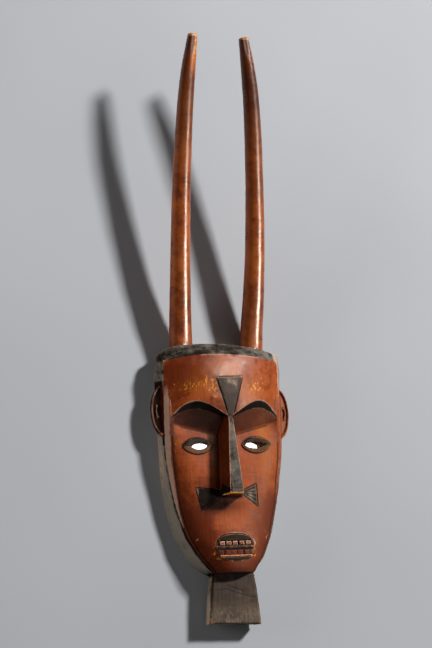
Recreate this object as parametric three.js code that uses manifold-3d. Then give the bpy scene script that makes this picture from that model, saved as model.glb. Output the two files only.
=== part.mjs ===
// Horned face mask, carved from one piece of light wood, in millimetres.
// The mask lies on its back: +X is the viewer's right, +Y runs up the face to the horns,
// +Z comes out of the face, and z = 0 is the flat back rim that it rests on.
// While it is carved, y = 0 is the line through the two eyes.

import * as THREE from 'three';
import { mergeVertices } from 'three/addons/utils/BufferGeometryUtils.js';
import Module from 'manifold-3d';

const wasm = await Module();
wasm.setup();

// Driving dimensions. A profile is a list of [y, value] pairs, read from the top down.

const FACE = {
  // half the width of the front edge, where the red face meets the black side wall
  halfWidth: [[112, 78.2], [104, 80.2], [6, 81.2], [-56, 74], [-82, 68.7], [-101.5, 63],
    [-121, 56.7], [-134, 49.9], [-147, 42], [-158, 33.6], [-165, 28.6]],
  // how far that edge stands out from the back plane
  edgeRise: [[112, 34.5], [60, 30.5], [6, 26.6], [-56, 22.7], [-101, 23], [-134, 25.5], [-165, 28.5]],
  // middle line of the forehead, and of the sunk face below the brows, without the nose
  foreheadRise: [[118, 56.5], [100, 60], [84, 61.4], [60, 60.8], [33, 57]],
  sunkRise: [[60, 27], [26, 31.5], [12, 35.5], [0, 38.4], [-30, 40.5], [-60, 42.5],
    [-90, 44], [-134, 44.5], [-148, 44.5], [-158, 43.8], [-165, 41.5]],
  // a high power is flat across the middle and falls away near the edge
  foreheadPower: 2.2,
  sunkPower: [[30, 8], [0, 7.4], [-30, 5.6], [-60, 3.8], [-134, 2.6], [-165, 2.2]],
  topMiddle: 116.4,
  topCentre: -25,
  topFallLeft: 0.0018,
  topFallRight: 0.0008,
  bottom: -165,
};

// the chin and the tab sit a little to the viewer's right of the middle
const DRIFT = { from: -95, over: 70, by: 2.6 };

// bevelled strip along the edge, which narrows round the jaw, and the groove inside it
const LIP = {
  width: [[0, 6.6], [-30, 5.6], [-57, 4.6], [-83, 3], [-115, 2]],
  bevel: 1.06,
  // how much of its width is rounded off at its foot, and by how much of it
  round: 0.33,
  rounding: 0.12,
  groove: 1.6,
  slope: 12.5,
  depth: 0.7,
  depthOver: 20,
  fadeFrom: -50,
  fadeTo: -105,
  foreheadFrom: 90,
  foreheadOver: 40,
};

const BROW = {
  root: 34,
  arch: 22.2,
  reach: 74.5,
  skew: 1.35,
  power: 0.8,
  slope: 0.6,
  ledge: 8.6,
  ledgeDepth: 0.4,
  creaseOuter: 29,
  creaseInner: 12,
  creaseStart: 10,
  coveCurve: 1.15,
};

const NOSE = {
  root: 46,
  ridgeRise: [[46, 56], [34, 57.5], [28, 60], [0, 62.4], [-30, 64.4], [-66, 67]],
  ridgeHalf: [[34, 2.8], [28, 3], [0, 5.2], [-66, 9.4]],
  baseHalf: [[34, 6], [20, 9.5], [0, 12], [-66, 15.2]],
  tip: -66,
  under: -68.5,
};

const EYE = {
  x: 40.4,
  y: -0.8,
  halfLength: 20.6,
  halfHeight: 11.1,
  point: 0.66,
  pointPower: 1.6,
  sides: 22,
  // rings of the raised rim: size of the ring, and its rise over the face
  rings: [[1, -5], [1, 0.2], [0.92, 1.9], [0.72, 2], [0.4, 1.6]],
  holeX: 39,
  holeHalfLength: 14,
  holeHalfHeight: 6.2,
  holeSides: 18,
};

const MOUTH = {
  y: -132.8,
  halfWidth: 27.5,
  halfHeight: 17.4,
  pocket: 2.8,
  flatness: 0.7,
  mound: 2.2,
  moundWidth: 34,
  moundHeight: 22.6,
  outlineSides: 28,
  outlinePowers: [0.75, 0.85],
  lipSides: 12,
  lipPower: 0.8,
  upperLip: { y: -124, half: 23.5, tall: 8.4, rise: 1.1 },
  lowerLip: { y: -145.4, half: 20, tall: 5, rise: 0.6 },
  bar: { half: 26, top: -132, bottom: -135.8, rise: -0.4 },
  upperTeeth: { count: 5, pitch: 8.6, width: 6.8, x: -0.4, top: -125.8, bottom: -130.8, rise: -0.7 },
  lowerTeeth: { count: 6, pitch: 7.9, width: 6.5, x: 1.4, top: -137.2, bottom: -143.4, rise: -0.9 },
};

const WALL = {
  // half the width at the widest line of the side wall, and the height of that line
  widest: [[120, 83.5], [110, 86.4], [95, 87.5], [8, 86.5], [-53, 81.7], [-79, 76.6], [-99, 72.3],
    [-118, 66.3], [-131, 60.2], [-144.5, 53.1], [-158, 40.6], [-167, 25]],
  widestRise: [[110, 22], [80, 15], [8, 15], [-53, 6], [-90, 3], [-167, 2]],
  // below its widest line the wall leans in again by this share of its width
  leanIn: 0.07,
  leanRise: 15,
  // round the jaw the wall runs down as well as out
  jawFrom: -60,
  jawOver: 60,
  jawDrop: 2,
  bevel: 0.08,
};

const CROWN = {
  top: 132.6,
  centre: -25,
  fallLeft: 0.0014,
  fallRight: 0.0012,
  rise: 42,
  cornerX: 83,
  cornerDrop: 19,
  cornerPower: 4,
  cornerStart: 60,
  // the left corner was cut rounder
  cornerRound: 6.5,
  sideLength: 45,
};

const HOLLOW = {
  wall: 22,
  roof: 11.5,
  top: 94,
  bottom: -138,
  vault: 2.8,
  riseFrom: 30,
  riseOver: 44,
  endLength: 34,
  endWidth: 0.72,
  rows: 22,
  columns: 18,
};

const HORN = {
  // points of the middle line of the right horn, [x, y, z], and its thickness there
  line: [[48.6, 112, 19], [49.4, 146, 23], [51, 192, 34.2], [52.1, 254, 48], [51.5, 315, 60],
    [49.6, 377, 72], [46.4, 439, 83.8], [42, 485, 91.5], [35.3, 532, 99]],
  thickness: [30.5, 29.9, 28.2, 26.2, 24.8, 23.2, 21.4, 19, 12.8],
  leftExtra: 2,
  tipBevel: 0.82,
  tipBevelRise: 1.4,
  sides: 14,
  rings: 26,
};

const EAR = {
  inner: 78,
  reach: 17.3,
  power: 0.8,
  halfHeight: 33.5,
  leftY: 47.5,
  rightY: 41,
  rim: 3.2,
  hollow: 4.6,
  thickness: 7.8,
  rise: 26.8,
  fall: 0.22,
  sides: 16,
  // ridge inside the hollow: half thickness, half height, its middle and its bow
  ridge: { half: 1.4, tall: 10, x: 87, bow: 1.6, below: 1.2 },
};

const TAB = {
  // top, neck and bottom end: y, half the width, and the heights of its back and front
  sections: [[-150, 24, 9.5, 28.6], [-171, 29.1, 9.5, 28.3], [-230.8, 35.7, 6.5, 25.5]],
  bevel: 1.6,
  skew: 1.4,
};

const FAR_FRONT = 70;
const BEHIND = -8;

// Small maths

const clamp01 = (t) => Math.min(1, Math.max(0, t));
const smooth = (t) => clamp01(t) ** 2 * (3 - 2 * clamp01(t));
const lerp = (a, b, t) => a + (b - a) * t;

// reads a profile at y with a monotone cubic through its points
function along(profile, y) {
  const n = profile.length - 1;
  if (y >= profile[0][0]) return profile[0][1];
  if (y <= profile[n][0]) return profile[n][1];
  const k = profile.findIndex(([at]) => at <= y) - 1;
  const slope = (i) => (profile[i + 1][1] - profile[i][1]) / (profile[i + 1][0] - profile[i][0]);
  const tangent = (i) => {
    if (i === 0) return slope(0);
    if (i === n) return slope(n - 1);
    const [a, b] = [slope(i - 1), slope(i)];
    return a * b <= 0 ? 0 : (2 * a * b) / (a + b);
  };
  const span = profile[k + 1][0] - profile[k][0];
  const t = (y - profile[k][0]) / span;
  const [p, q] = [profile[k][1], profile[k + 1][1]];
  return (2 * t ** 3 - 3 * t ** 2 + 1) * p + (t ** 3 - 2 * t ** 2 + t) * span * tangent(k)
    + (3 * t ** 2 - 2 * t ** 3) * q + (t ** 3 - t ** 2) * span * tangent(k + 1);
}

// Lines of the face

function topEdge(x) {
  const away = x - FACE.topCentre;
  return FACE.topMiddle - (away < 0 ? FACE.topFallLeft : FACE.topFallRight) * away ** 2;
}

const archAt = (x) => Math.sin(Math.PI * clamp01(Math.abs(x) / BROW.reach) ** BROW.skew) ** BROW.power;
const browEdge = (x) => BROW.root + BROW.arch * archAt(x);
const ledgeEdge = (x) => browEdge(x) - BROW.slope - BROW.ledge * archAt(x);

function creaseLine(x) {
  const out = clamp01((Math.abs(x) - BROW.creaseStart) / (BROW.reach - BROW.creaseStart));
  return Math.min(lerp(BROW.creaseInner, BROW.creaseOuter, out), ledgeEdge(x) - BROW.slope);
}

// Heights of the face

function lipHeight(y, inward) {
  const width = along(LIP.width, y);
  const rounding = LIP.rounding * width * clamp01(1 - inward / (LIP.round * width)) ** 2;
  return along(FACE.edgeRise, y) + LIP.bevel * Math.min(Math.max(inward, 0), width) - rounding;
}

// inside the strip, the mask's right side has a shallow groove
function sunkHeight(x, y) {
  const inward = along(FACE.halfWidth, y) - Math.abs(x);
  const width = along(LIP.width, y);
  if (inward < width) return lipHeight(y, inward);
  const fade = smooth((y - LIP.fadeTo) / (LIP.fadeFrom - LIP.fadeTo));
  const lip = lipHeight(y, width);
  const low = lip - LIP.depth * fade * smooth(-x / LIP.depthOver);
  if (inward < width + LIP.groove) return lerp(lip, low, smooth((inward - width) / LIP.groove));
  const u = Math.abs(x) / (Math.abs(x) + inward - width - LIP.groove);
  return low + (along(FACE.sunkRise, y) - low) * (1 - u ** along(FACE.sunkPower, y));
}

function foreheadHeight(x, y) {
  const half = along(FACE.halfWidth, y);
  const edge = lipHeight(y, 0);
  const bulge = lerp(edge, along(FACE.foreheadRise, y), 1 - (Math.abs(x) / half) ** FACE.foreheadPower);
  const lip = lerp(edge, lipHeight(y, half - Math.abs(x)), smooth((LIP.foreheadFrom - y) / LIP.foreheadOver));
  return Math.max(bulge, lip);
}

function carvedHeight(x, y) {
  const brow = browEdge(x);
  const crease = creaseLine(x);
  if (y >= brow) return foreheadHeight(x, y);
  if (y <= crease) return sunkHeight(x, y);
  const top = foreheadHeight(x, brow);
  const bottom = sunkHeight(x, crease);
  const ledgeY = ledgeEdge(x);
  const ledgeZ = lerp(top, bottom, BROW.ledgeDepth);
  if (y >= ledgeY) return lerp(ledgeZ, top, (y - ledgeY) / (brow - ledgeY));
  return lerp(bottom, ledgeZ, ((y - crease) / (ledgeY - crease)) ** BROW.coveCurve);
}

function noseHeight(x, y) {
  if (y > NOSE.root || y < NOSE.under) return 0;
  const ridge = along(NOSE.ridgeRise, y);
  const under = y < NOSE.tip ? (y - NOSE.under) / (NOSE.tip - NOSE.under) : 1;
  const ridgeHalf = along(NOSE.ridgeHalf, y);
  const side = (along(NOSE.baseHalf, y) - Math.abs(x)) / (along(NOSE.baseHalf, y) - ridgeHalf);
  const floor = carvedHeight(x, y);
  return floor + (ridge - floor) * clamp01(side) * under;
}

function faceHeight(x, y) {
  const away = Math.hypot(x / MOUTH.moundWidth, (y - MOUTH.y) / MOUTH.moundHeight);
  return Math.max(carvedHeight(x, y) + MOUTH.mound * Math.exp(-(away ** 3)), noseHeight(x, y));
}

// Grid of the front: its columns follow the nose and the lip, its rows the brows

const COLUMNS = [[0, 2], [1, 2], [2, 10], [3, 1], [4, 1], [5, 2], [6, 1]];
const ROWS = [[0, 9], [1, 1], [2, 3], [3, 16], [4, 1], [5, 15]];

function columnLines(y) {
  const half = along(FACE.halfWidth, y);
  const width = along(LIP.width, y);
  return [0, along(NOSE.ridgeHalf, y), along(NOSE.baseHalf, y), half - LIP.slope, half - width - LIP.groove,
    half - width, half - LIP.round * width, half];
}

function rowLines(x) {
  return [topEdge(x), browEdge(x), ledgeEdge(x), creaseLine(x), NOSE.tip, NOSE.under, FACE.bottom];
}

function steps(bands) {
  const list = [];
  for (const [band, count] of bands) {
    for (let i = 0; i < count; i += 1) list.push([band, i / count]);
  }
  list.push([bands.length - 1, 1]);
  return list;
}

function pick(lines, [band, t]) {
  return lerp(lines[band], lines[band + 1], t);
}

function frontGrid() {
  const right = steps(COLUMNS).map((column) => [1, column]);
  const left = right.slice(1).reverse().map(([, column]) => [-1, column]);
  const columns = [...left, ...right];
  return steps(ROWS).map((row) => columns.map(([side, column]) => {
    let [x, y] = [0, pick(rowLines(0), row)];
    for (let pass = 0; pass < 6; pass += 1) {
      x = side * pick(columnLines(y), column);
      y = pick(rowLines(x), row);
    }
    return new THREE.Vector3(x, y, faceHeight(x, y));
  }));
}

// Closed solids

function solid(positions, index) {
  const geometry = new THREE.BufferGeometry();
  geometry.setAttribute('position', new THREE.Float32BufferAttribute(positions, 3));
  geometry.setIndex(index);
  const merged = mergeVertices(geometry, 1e-4);
  return new wasm.Manifold(new wasm.Mesh({
    numProp: 3,
    vertProperties: new Float32Array(merged.attributes.position.array),
    triVerts: new Uint32Array(merged.index.array),
  }));
}

const drift = (y) => DRIFT.by * smooth((DRIFT.from - y) / DRIFT.over);

function solidOf(points, faces) {
  return solid(points.flatMap((p) => [p.x + drift(p.y), p.y, p.z]), faces.flat());
}

// stack of rings with the same number of points, anticlockwise when seen from the side they grow to
function stack(rings) {
  const n = rings[0].length;
  const faces = [];
  for (let r = 0; r + 1 < rings.length; r += 1) {
    for (let i = 0; i < n; i += 1) {
      const [a, b] = [r * n + i, r * n + ((i + 1) % n)];
      faces.push([a, b, b + n], [a, b + n, a + n]);
    }
  }
  const last = (rings.length - 1) * n;
  for (let i = 1; i + 1 < n; i += 1) {
    faces.push([0, i + 1, i], [last, last + i, last + i + 1]);
  }
  return solidOf(rings.flat(), faces);
}

// block over a flat outline, anticlockwise in x and y, with its own height at every corner
function block(outline, low, high) {
  const caps = THREE.ShapeUtils.triangulateShape(outline, []);
  const n = outline.length;
  const points = [
    ...outline.map((p) => new THREE.Vector3(p.x, p.y, low(p.x, p.y))),
    ...outline.map((p) => new THREE.Vector3(p.x, p.y, high(p.x, p.y))),
  ];
  const faces = caps.flatMap(([a, b, c]) => [[a, c, b], [a + n, b + n, c + n]]);
  for (let i = 0; i < n; i += 1) {
    const j = (i + 1) % n;
    faces.push([i, j, j + n], [i, j + n, i + n]);
  }
  return solidOf(points, faces);
}

// The body: front, side wall and flat back

function crown(x) {
  const corner = clamp01((Math.abs(x) - CROWN.cornerStart) / (CROWN.cornerX - CROWN.cornerStart));
  const round = x < 0 ? CROWN.cornerRound * corner ** 2 : 0;
  const fall = x < CROWN.centre ? CROWN.fallLeft : CROWN.fallRight;
  return CROWN.top - fall * (x - CROWN.centre) ** 2 - round;
}

// faces between grid rows, and the grid's outer loop, anticlockwise
function gridFaces(rows, columns) {
  const faces = [];
  for (let r = 0; r + 1 < rows; r += 1) {
    for (let c = 0; c + 1 < columns; c += 1) {
      const [a, b] = [r * columns + c, (r + 1) * columns + c];
      faces.push([a, b, b + 1], [a, b + 1, a + 1]);
    }
  }
  return faces;
}

function gridLoop(rows, columns) {
  const loop = [];
  for (let c = 0; c < columns; c += 1) loop.push((rows - 1) * columns + c);
  for (let r = rows - 2; r >= 0; r -= 1) loop.push(r * columns + columns - 1);
  for (let c = columns - 2; c >= 0; c -= 1) loop.push(c);
  for (let r = 1; r < rows - 1; r += 1) loop.push(r * columns);
  return loop;
}

// walls down from a grid's loop through further loops of points, closed by a flat cap
function closeBelow(points, faces, loop, levels) {
  const n = loop.length;
  let above = loop;
  for (const level of levels) {
    const start = points.length;
    points.push(...level);
    const below = level.map((_, i) => start + i);
    for (let i = 0; i < n; i += 1) {
      const j = (i + 1) % n;
      faces.push([above[i], below[i], below[j]], [above[i], below[j], above[j]]);
    }
    above = below;
  }
  const outline = above.map((i) => new THREE.Vector2(points[i].x, points[i].y));
  for (const [a, b, c] of THREE.ShapeUtils.triangulateShape(outline, [])) {
    faces.push([above[a], above[c], above[b]]);
  }
  return solidOf(points, faces);
}

// point of the wall's widest line beside one point of the front edge
function widestBeside(front, place, cornerY) {
  const side = Math.sign(front.x);
  if (place === 'top') {
    const x = front.x * (CROWN.cornerX / FACE.halfWidth[0][1]);
    const drop = CROWN.cornerDrop * Math.abs(x / CROWN.cornerX) ** CROWN.cornerPower;
    return new THREE.Vector3(x, crown(x), CROWN.rise - drop);
  }
  if (place === 'bottom') {
    const [y, half] = WALL.widest.at(-1);
    return new THREE.Vector3((front.x / FACE.halfWidth.at(-1)[1]) * half, y, along(WALL.widestRise, y));
  }
  const corner = clamp01(1 - (cornerY - front.y) / CROWN.sideLength) ** 2;
  const jaw = WALL.jawDrop * clamp01((WALL.jawFrom - front.y) / WALL.jawOver);
  const y = front.y + (crown(side * CROWN.cornerX) - cornerY) * corner - jaw;
  const half = lerp(along(WALL.widest, y), CROWN.cornerX, corner ** 3);
  const rise = lerp(along(WALL.widestRise, y), CROWN.rise - CROWN.cornerDrop, corner);
  return new THREE.Vector3(side * half, y, rise);
}

function rimBelow(line) {
  const lean = WALL.leanIn * clamp01(line.z / WALL.leanRise);
  return new THREE.Vector3(line.x * (1 - lean), line.y, 0);
}

function body() {
  const grid = frontGrid();
  const [rows, columns] = [grid.length, grid[0].length];
  const points = grid.flat();
  const loop = gridLoop(rows, columns);
  const widest = loop.map((index) => {
    const row = Math.floor(index / columns);
    const place = { 0: 'top', [rows - 1]: 'bottom' }[row] ?? 'side';
    return widestBeside(points[index], place, points[points[index].x < 0 ? 0 : columns - 1].y);
  });
  const bevel = loop.map((index, i) => points[index].clone().lerp(widest[i], WALL.bevel));
  return closeBelow(points, gridFaces(rows, columns), loop, [bevel, widest, widest.map(rimBelow)]);
}

// the hollow behind the face is a vault that follows the front, a wall's thickness behind it
function hollow() {
  const points = [];
  for (let r = 0; r <= HOLLOW.rows; r += 1) {
    const y = lerp(HOLLOW.top, HOLLOW.bottom, r / HOLLOW.rows);
    const toEnd = Math.min(HOLLOW.top - y, y - HOLLOW.bottom);
    const end = Math.min(1, Math.sqrt(toEnd / HOLLOW.endLength));
    const half = (along(WALL.widest, y) - HOLLOW.wall) * lerp(HOLLOW.endWidth, 1, end);
    const sunk = along(FACE.sunkRise, Math.min(y, HOLLOW.riseFrom));
    const middle = lerp(sunk, along(FACE.foreheadRise, y), smooth((y - HOLLOW.riseFrom) / HOLLOW.riseOver));
    for (let c = 0; c <= HOLLOW.columns; c += 1) {
      const u = (2 * c) / HOLLOW.columns - 1;
      const z = (middle - HOLLOW.roof) * (1 - Math.abs(u) ** HOLLOW.vault) * end;
      points.push(new THREE.Vector3(u * half, y, z));
    }
  }
  const loop = gridLoop(HOLLOW.rows + 1, HOLLOW.columns + 1);
  const below = loop.map((i) => new THREE.Vector3(points[i].x, points[i].y, BEHIND));
  return closeBelow(points, gridFaces(HOLLOW.rows + 1, HOLLOW.columns + 1), loop, [below]);
}

// Eyes

function almond(x, halfLength, halfHeight, n) {
  return Array.from({ length: n }, (_, i) => {
    const a = (i / n) * 2 * Math.PI;
    const narrow = lerp(1, EYE.point, Math.abs(Math.cos(a)) ** EYE.pointPower);
    return new THREE.Vector2(x + halfLength * Math.cos(a), EYE.y + halfHeight * Math.sin(a) * narrow);
  });
}

function eyeRim(side) {
  return stack(EYE.rings.map(([size, rise]) => (
    almond(side * EYE.x, size * EYE.halfLength, size * EYE.halfHeight, EYE.sides)
      .map(({ x, y }) => new THREE.Vector3(x, y, faceHeight(x, y) + rise))
  )));
}

function eyeHole(side) {
  const outline = almond(side * EYE.holeX, EYE.holeHalfLength, EYE.holeHalfHeight, EYE.holeSides);
  return block(outline, () => BEHIND, () => FAR_FRONT);
}

// Mouth: a shallow pocket that holds two lips, a bar and two rows of teeth

const mouthTop = (rise) => (x, y) => faceHeight(x * MOUTH.flatness, y) + rise;

function mouthPocket() {
  const outline = Array.from({ length: MOUTH.outlineSides }, (_, i) => {
    const a = (2 * Math.PI * i) / MOUTH.outlineSides;
    const [c, s] = [Math.cos(a), Math.sin(a)];
    return new THREE.Vector2(
      MOUTH.halfWidth * Math.sign(c) * Math.abs(c) ** MOUTH.outlinePowers[0],
      MOUTH.y + MOUTH.halfHeight * Math.sign(s) * Math.abs(s) ** MOUTH.outlinePowers[1],
    );
  });
  return block(outline, mouthTop(-MOUTH.pocket), () => FAR_FRONT);
}

// a raised piece that roots in the pocket's floor
function raised(outline, rise) {
  return block(outline, mouthTop(-2 * MOUTH.pocket), mouthTop(rise));
}

function lip({ y, half, tall, rise }, way) {
  const outline = Array.from({ length: MOUTH.lipSides + 1 }, (_, i) => {
    const a = (Math.PI * i) / MOUTH.lipSides;
    return new THREE.Vector2(way * half * Math.cos(a), y + way * tall * Math.sin(a) ** MOUTH.lipPower);
  });
  return raised(outline, rise);
}

function bar({ half, top, bottom, rise }, x = 0) {
  const corners = [[-half, bottom], [half, bottom], [half, top], [-half, top]];
  return raised(corners.map(([dx, y]) => new THREE.Vector2(x + dx, y)), rise);
}

function teeth({ count, pitch, width, x, ...row }) {
  return Array.from({ length: count }, (_, i) => (
    bar({ half: width / 2, ...row }, x + (i - (count - 1) / 2) * pitch)
  ));
}

function mouthParts() {
  return [
    lip(MOUTH.upperLip, 1),
    lip(MOUTH.lowerLip, -1),
    bar(MOUTH.bar),
    ...teeth(MOUTH.upperTeeth),
    ...teeth(MOUTH.lowerTeeth),
  ];
}

// Ears: a half oval flange with a raised rim and a bowed ridge in its hollow

function ear(side) {
  const centre = side < 0 ? EAR.leftY : EAR.rightY;
  const outline = (inset) => Array.from({ length: EAR.sides + 1 }, (_, i) => {
    const a = Math.PI * (i / EAR.sides - 0.5);
    const x = EAR.inner + (EAR.reach - inset) * Math.cos(a) ** EAR.power;
    return new THREE.Vector2(side * x, centre + side * (EAR.halfHeight - inset) * Math.sin(a));
  });
  const front = (x) => EAR.rise - EAR.fall * (Math.abs(x) - EAR.inner);
  const back = (x) => front(x) - EAR.thickness;
  const flange = block(outline(0), back, front);
  const pocket = block(outline(EAR.rim), (x) => front(x) - EAR.hollow, () => FAR_FRONT);
  const { half, tall, bow, below } = EAR.ridge;
  const bowed = [[-half, -tall], [half, -tall], [half + bow, 0], [half, tall], [-half, tall], [bow - half, 0]]
    .map(([x, y]) => new THREE.Vector2(side * (EAR.ridge.x + x), centre + side * y));
  const ridge = block(bowed, (x) => back(x) + below, (x) => front(x) - below);
  return flange.subtract(pocket).add(ridge);
}

// Horns: round, tapering, bowed outwards and leaning forwards, cut off blunt

function horn(side) {
  const line = new THREE.CatmullRomCurve3(HORN.line.map(([x, y, z]) => new THREE.Vector3(side * x, y, z)));
  const last = HORN.thickness.length - 1;
  const extra = side < 0 ? HORN.leftExtra : 0;
  const ring = (t, size) => {
    const heading = line.getTangent(t);
    const centre = line.getPoint(t).addScaledVector(heading, extra * t ** 3);
    const across = heading.clone().cross(new THREE.Vector3(0, 0, 1)).normalize();
    const out = heading.clone().cross(across);
    const k = Math.min(last - 1, Math.floor(t * last));
    const radius = (size * lerp(HORN.thickness[k], HORN.thickness[k + 1], t * last - k)) / 2;
    return Array.from({ length: HORN.sides }, (_, i) => {
      const a = (2 * Math.PI * i) / HORN.sides;
      return centre.clone()
        .addScaledVector(across, radius * Math.cos(a))
        .addScaledVector(out, radius * Math.sin(a));
    });
  };
  const rings = Array.from({ length: HORN.rings }, (_, r) => ring(r / HORN.rings, 1));
  const belowTip = 1 - HORN.tipBevelRise / line.getLength();
  return stack([...rings, ring(belowTip, 1), ring(1, HORN.tipBevel)]);
}

// Tab below the chin, by which the mask is held and tied on

function tab() {
  const { bevel, skew } = TAB;
  const rings = TAB.sections.map(([y, w, z0, z1]) => (
    [[-w + bevel, z0], [-w, z0 + bevel], [-w, z1 - bevel], [-w + bevel, z1],
      [w - bevel, z1], [w, z1 - bevel], [w, z0 + bevel], [w - bevel, z0]]
      .map(([x, z]) => new THREE.Vector3(x, y - (skew * x) / w, z))
  ));
  return stack(rings.reverse());
}

function carve() {
  let wood = body();
  for (const side of [-1, 1]) wood = wood.add(horn(side)).add(ear(side)).add(eyeRim(side));
  wood = wood.add(tab()).subtract(mouthPocket());
  for (const piece of mouthParts()) wood = wood.add(piece);
  wood = wood.subtract(hollow());
  for (const side of [-1, 1]) wood = wood.subtract(eyeHole(side));
  return wood;
}

function meshOf(manifold, material) {
  const { vertProperties, triVerts } = manifold.getMesh();
  const geometry = new THREE.BufferGeometry();
  geometry.setAttribute('position', new THREE.Float32BufferAttribute(vertProperties, 3));
  geometry.setIndex(new THREE.BufferAttribute(triVerts, 1));
  return new THREE.Mesh(geometry, material);
}

const stainedWood = new THREE.MeshStandardMaterial({ color: 0x9a4a26, roughness: 0.42, metalness: 0 });
const mask = meshOf(carve(), stainedWood);
mask.name = 'mask';

// the origin is on the back plane, under the middle of the whole length and width
mask.geometry.computeBoundingBox();
const { min, max } = mask.geometry.boundingBox;
mask.position.set(-(min.x + max.x) / 2, -(min.y + max.y) / 2, 0);

const model = new THREE.Group();
model.add(mask);

export default model;
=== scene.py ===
import math

import bpy
import numpy as np
from mathutils import Matrix, Vector, kdtree, noise


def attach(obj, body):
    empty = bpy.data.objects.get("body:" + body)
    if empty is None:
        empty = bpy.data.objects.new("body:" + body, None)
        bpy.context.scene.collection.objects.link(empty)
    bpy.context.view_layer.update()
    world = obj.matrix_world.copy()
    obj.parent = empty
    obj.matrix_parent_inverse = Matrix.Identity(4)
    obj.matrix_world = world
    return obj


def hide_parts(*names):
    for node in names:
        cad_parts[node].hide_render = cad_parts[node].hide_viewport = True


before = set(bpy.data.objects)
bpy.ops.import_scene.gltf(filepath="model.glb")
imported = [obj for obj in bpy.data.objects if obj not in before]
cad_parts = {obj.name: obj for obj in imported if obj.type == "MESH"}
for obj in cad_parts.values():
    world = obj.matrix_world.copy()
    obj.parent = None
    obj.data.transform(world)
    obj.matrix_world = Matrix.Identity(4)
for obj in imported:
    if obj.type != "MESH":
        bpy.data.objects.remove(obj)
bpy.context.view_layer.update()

# Horned face mask, carved from one block of light wood, stained red-brown and painted black.
# Shapes are worked out in millimetres on the face: x to the viewer's right, y up from the line
# through the eyes, z out of the face from the flat back rim that the mask lies on.

eyeLine = -151.4257  # the line through the eyes in the model's frame, mm
millimetre = 0.001


# small maths, all on whole arrays of vertices

def clamp01(t):
    return np.clip(t, 0, 1)


def smooth(t):
    return clamp01(t) ** 2 * (3 - 2 * clamp01(t))


def lerp(a, b, t):
    return a + (b - a) * t


def bump(away):
    return np.exp(-away ** 2)


def rising(at, start, over):
    # 0 up to the start, then up to 1 over that length
    return smooth((at - start) / over)


def falling(at, start, over):
    return smooth((start - at) / over)


def near(at, middle, reach):
    # 1 in the middle, fading to both sides
    return bump((at - middle) / reach)


def spot(x, y, middleX, middleY, wide, tall):
    return bump(np.hypot((x - middleX) / wide, (y - middleY) / tall))


def along(profile, y):
    # reads a profile of (y, value) pairs at y, with a monotone cubic through its points
    ys, values = np.array(sorted(profile), float).T
    slopes = np.diff(values) / np.diff(ys)
    before, after = slopes[:-1], slopes[1:]
    total = np.where(before * after > 0, before + after, 1)
    middle = np.where(before * after > 0, 2 * before * after / total, 0)
    tangents = np.concatenate([slopes[:1], middle, slopes[-1:]])
    y = np.clip(y, ys[0], ys[-1])
    k = np.clip(np.searchsorted(ys, y, side="right") - 1, 0, len(ys) - 2)
    span = ys[k + 1] - ys[k]
    t = (y - ys[k]) / span
    return ((2 * t ** 3 - 3 * t ** 2 + 1) * values[k] + (t ** 3 - 2 * t ** 2 + t) * span * tangents[k]
            + (3 * t ** 2 - 2 * t ** 3) * values[k + 1] + (t ** 3 - t ** 2) * span * tangents[k + 1])


def steps(bands):
    # (first line, count) bands as the place of every grid line: number of the line plus a share
    places = [band + i / count for band, count in bands for i in range(count)]
    return np.array(places + [bands[-1][0] + 1])


def pick(lines, at):
    # the place at a grid line, or at a share of the way to the next one
    k = np.clip(at.astype(int), 0, len(lines) - 2)
    low = np.take_along_axis(lines, k[None], 0)[0]
    high = np.take_along_axis(lines, k[None] + 1, 0)[0]
    return lerp(low, high, at - k)


def undulation(places, size, seed):
    # soft unevenness of a hand-cut surface, about -1 to 1, with waves of that size in mm
    shift = Vector((seed * 17.3, seed * 5.1, seed * 9.7))
    stretch = np.broadcast_to(np.asarray(size, float), (3,))
    return np.array([noise.noise(Vector(p) + shift) for p in places / stretch])


def unevenness(places, waves, seed):
    # layers of (size, height) waves in mm
    return sum(height * undulation(places, size, seed + i) for i, (size, height) in enumerate(waves))


def lineDistance(points, x, y):
    nearest = np.full(len(x), 1e9)
    for (ax, ay), (bx, by) in zip(points, points[1:]):
        t = clamp01(((x - ax) * (bx - ax) + (y - ay) * (by - ay)) / ((bx - ax) ** 2 + (by - ay) ** 2))
        nearest = np.minimum(nearest, np.hypot(x - lerp(ax, bx, t), y - lerp(ay, by, t)))
    return nearest


def outlineDistance(corners, x, y):
    # signed distance to a flat outline, positive inside
    closed = corners + corners[:1]
    inside = np.zeros(len(x), bool)
    for (ax, ay), (bx, by) in zip(closed, closed[1:]):
        rise = by - ay if by != ay else 1e-9
        inside ^= ((ay > y) != (by > y)) & (x < (bx - ax) * (y - ay) / rise + ax)
    nearest = lineDistance(closed, x, y)
    return np.where(inside, nearest, -nearest)


# the mask as a piece of carving

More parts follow.
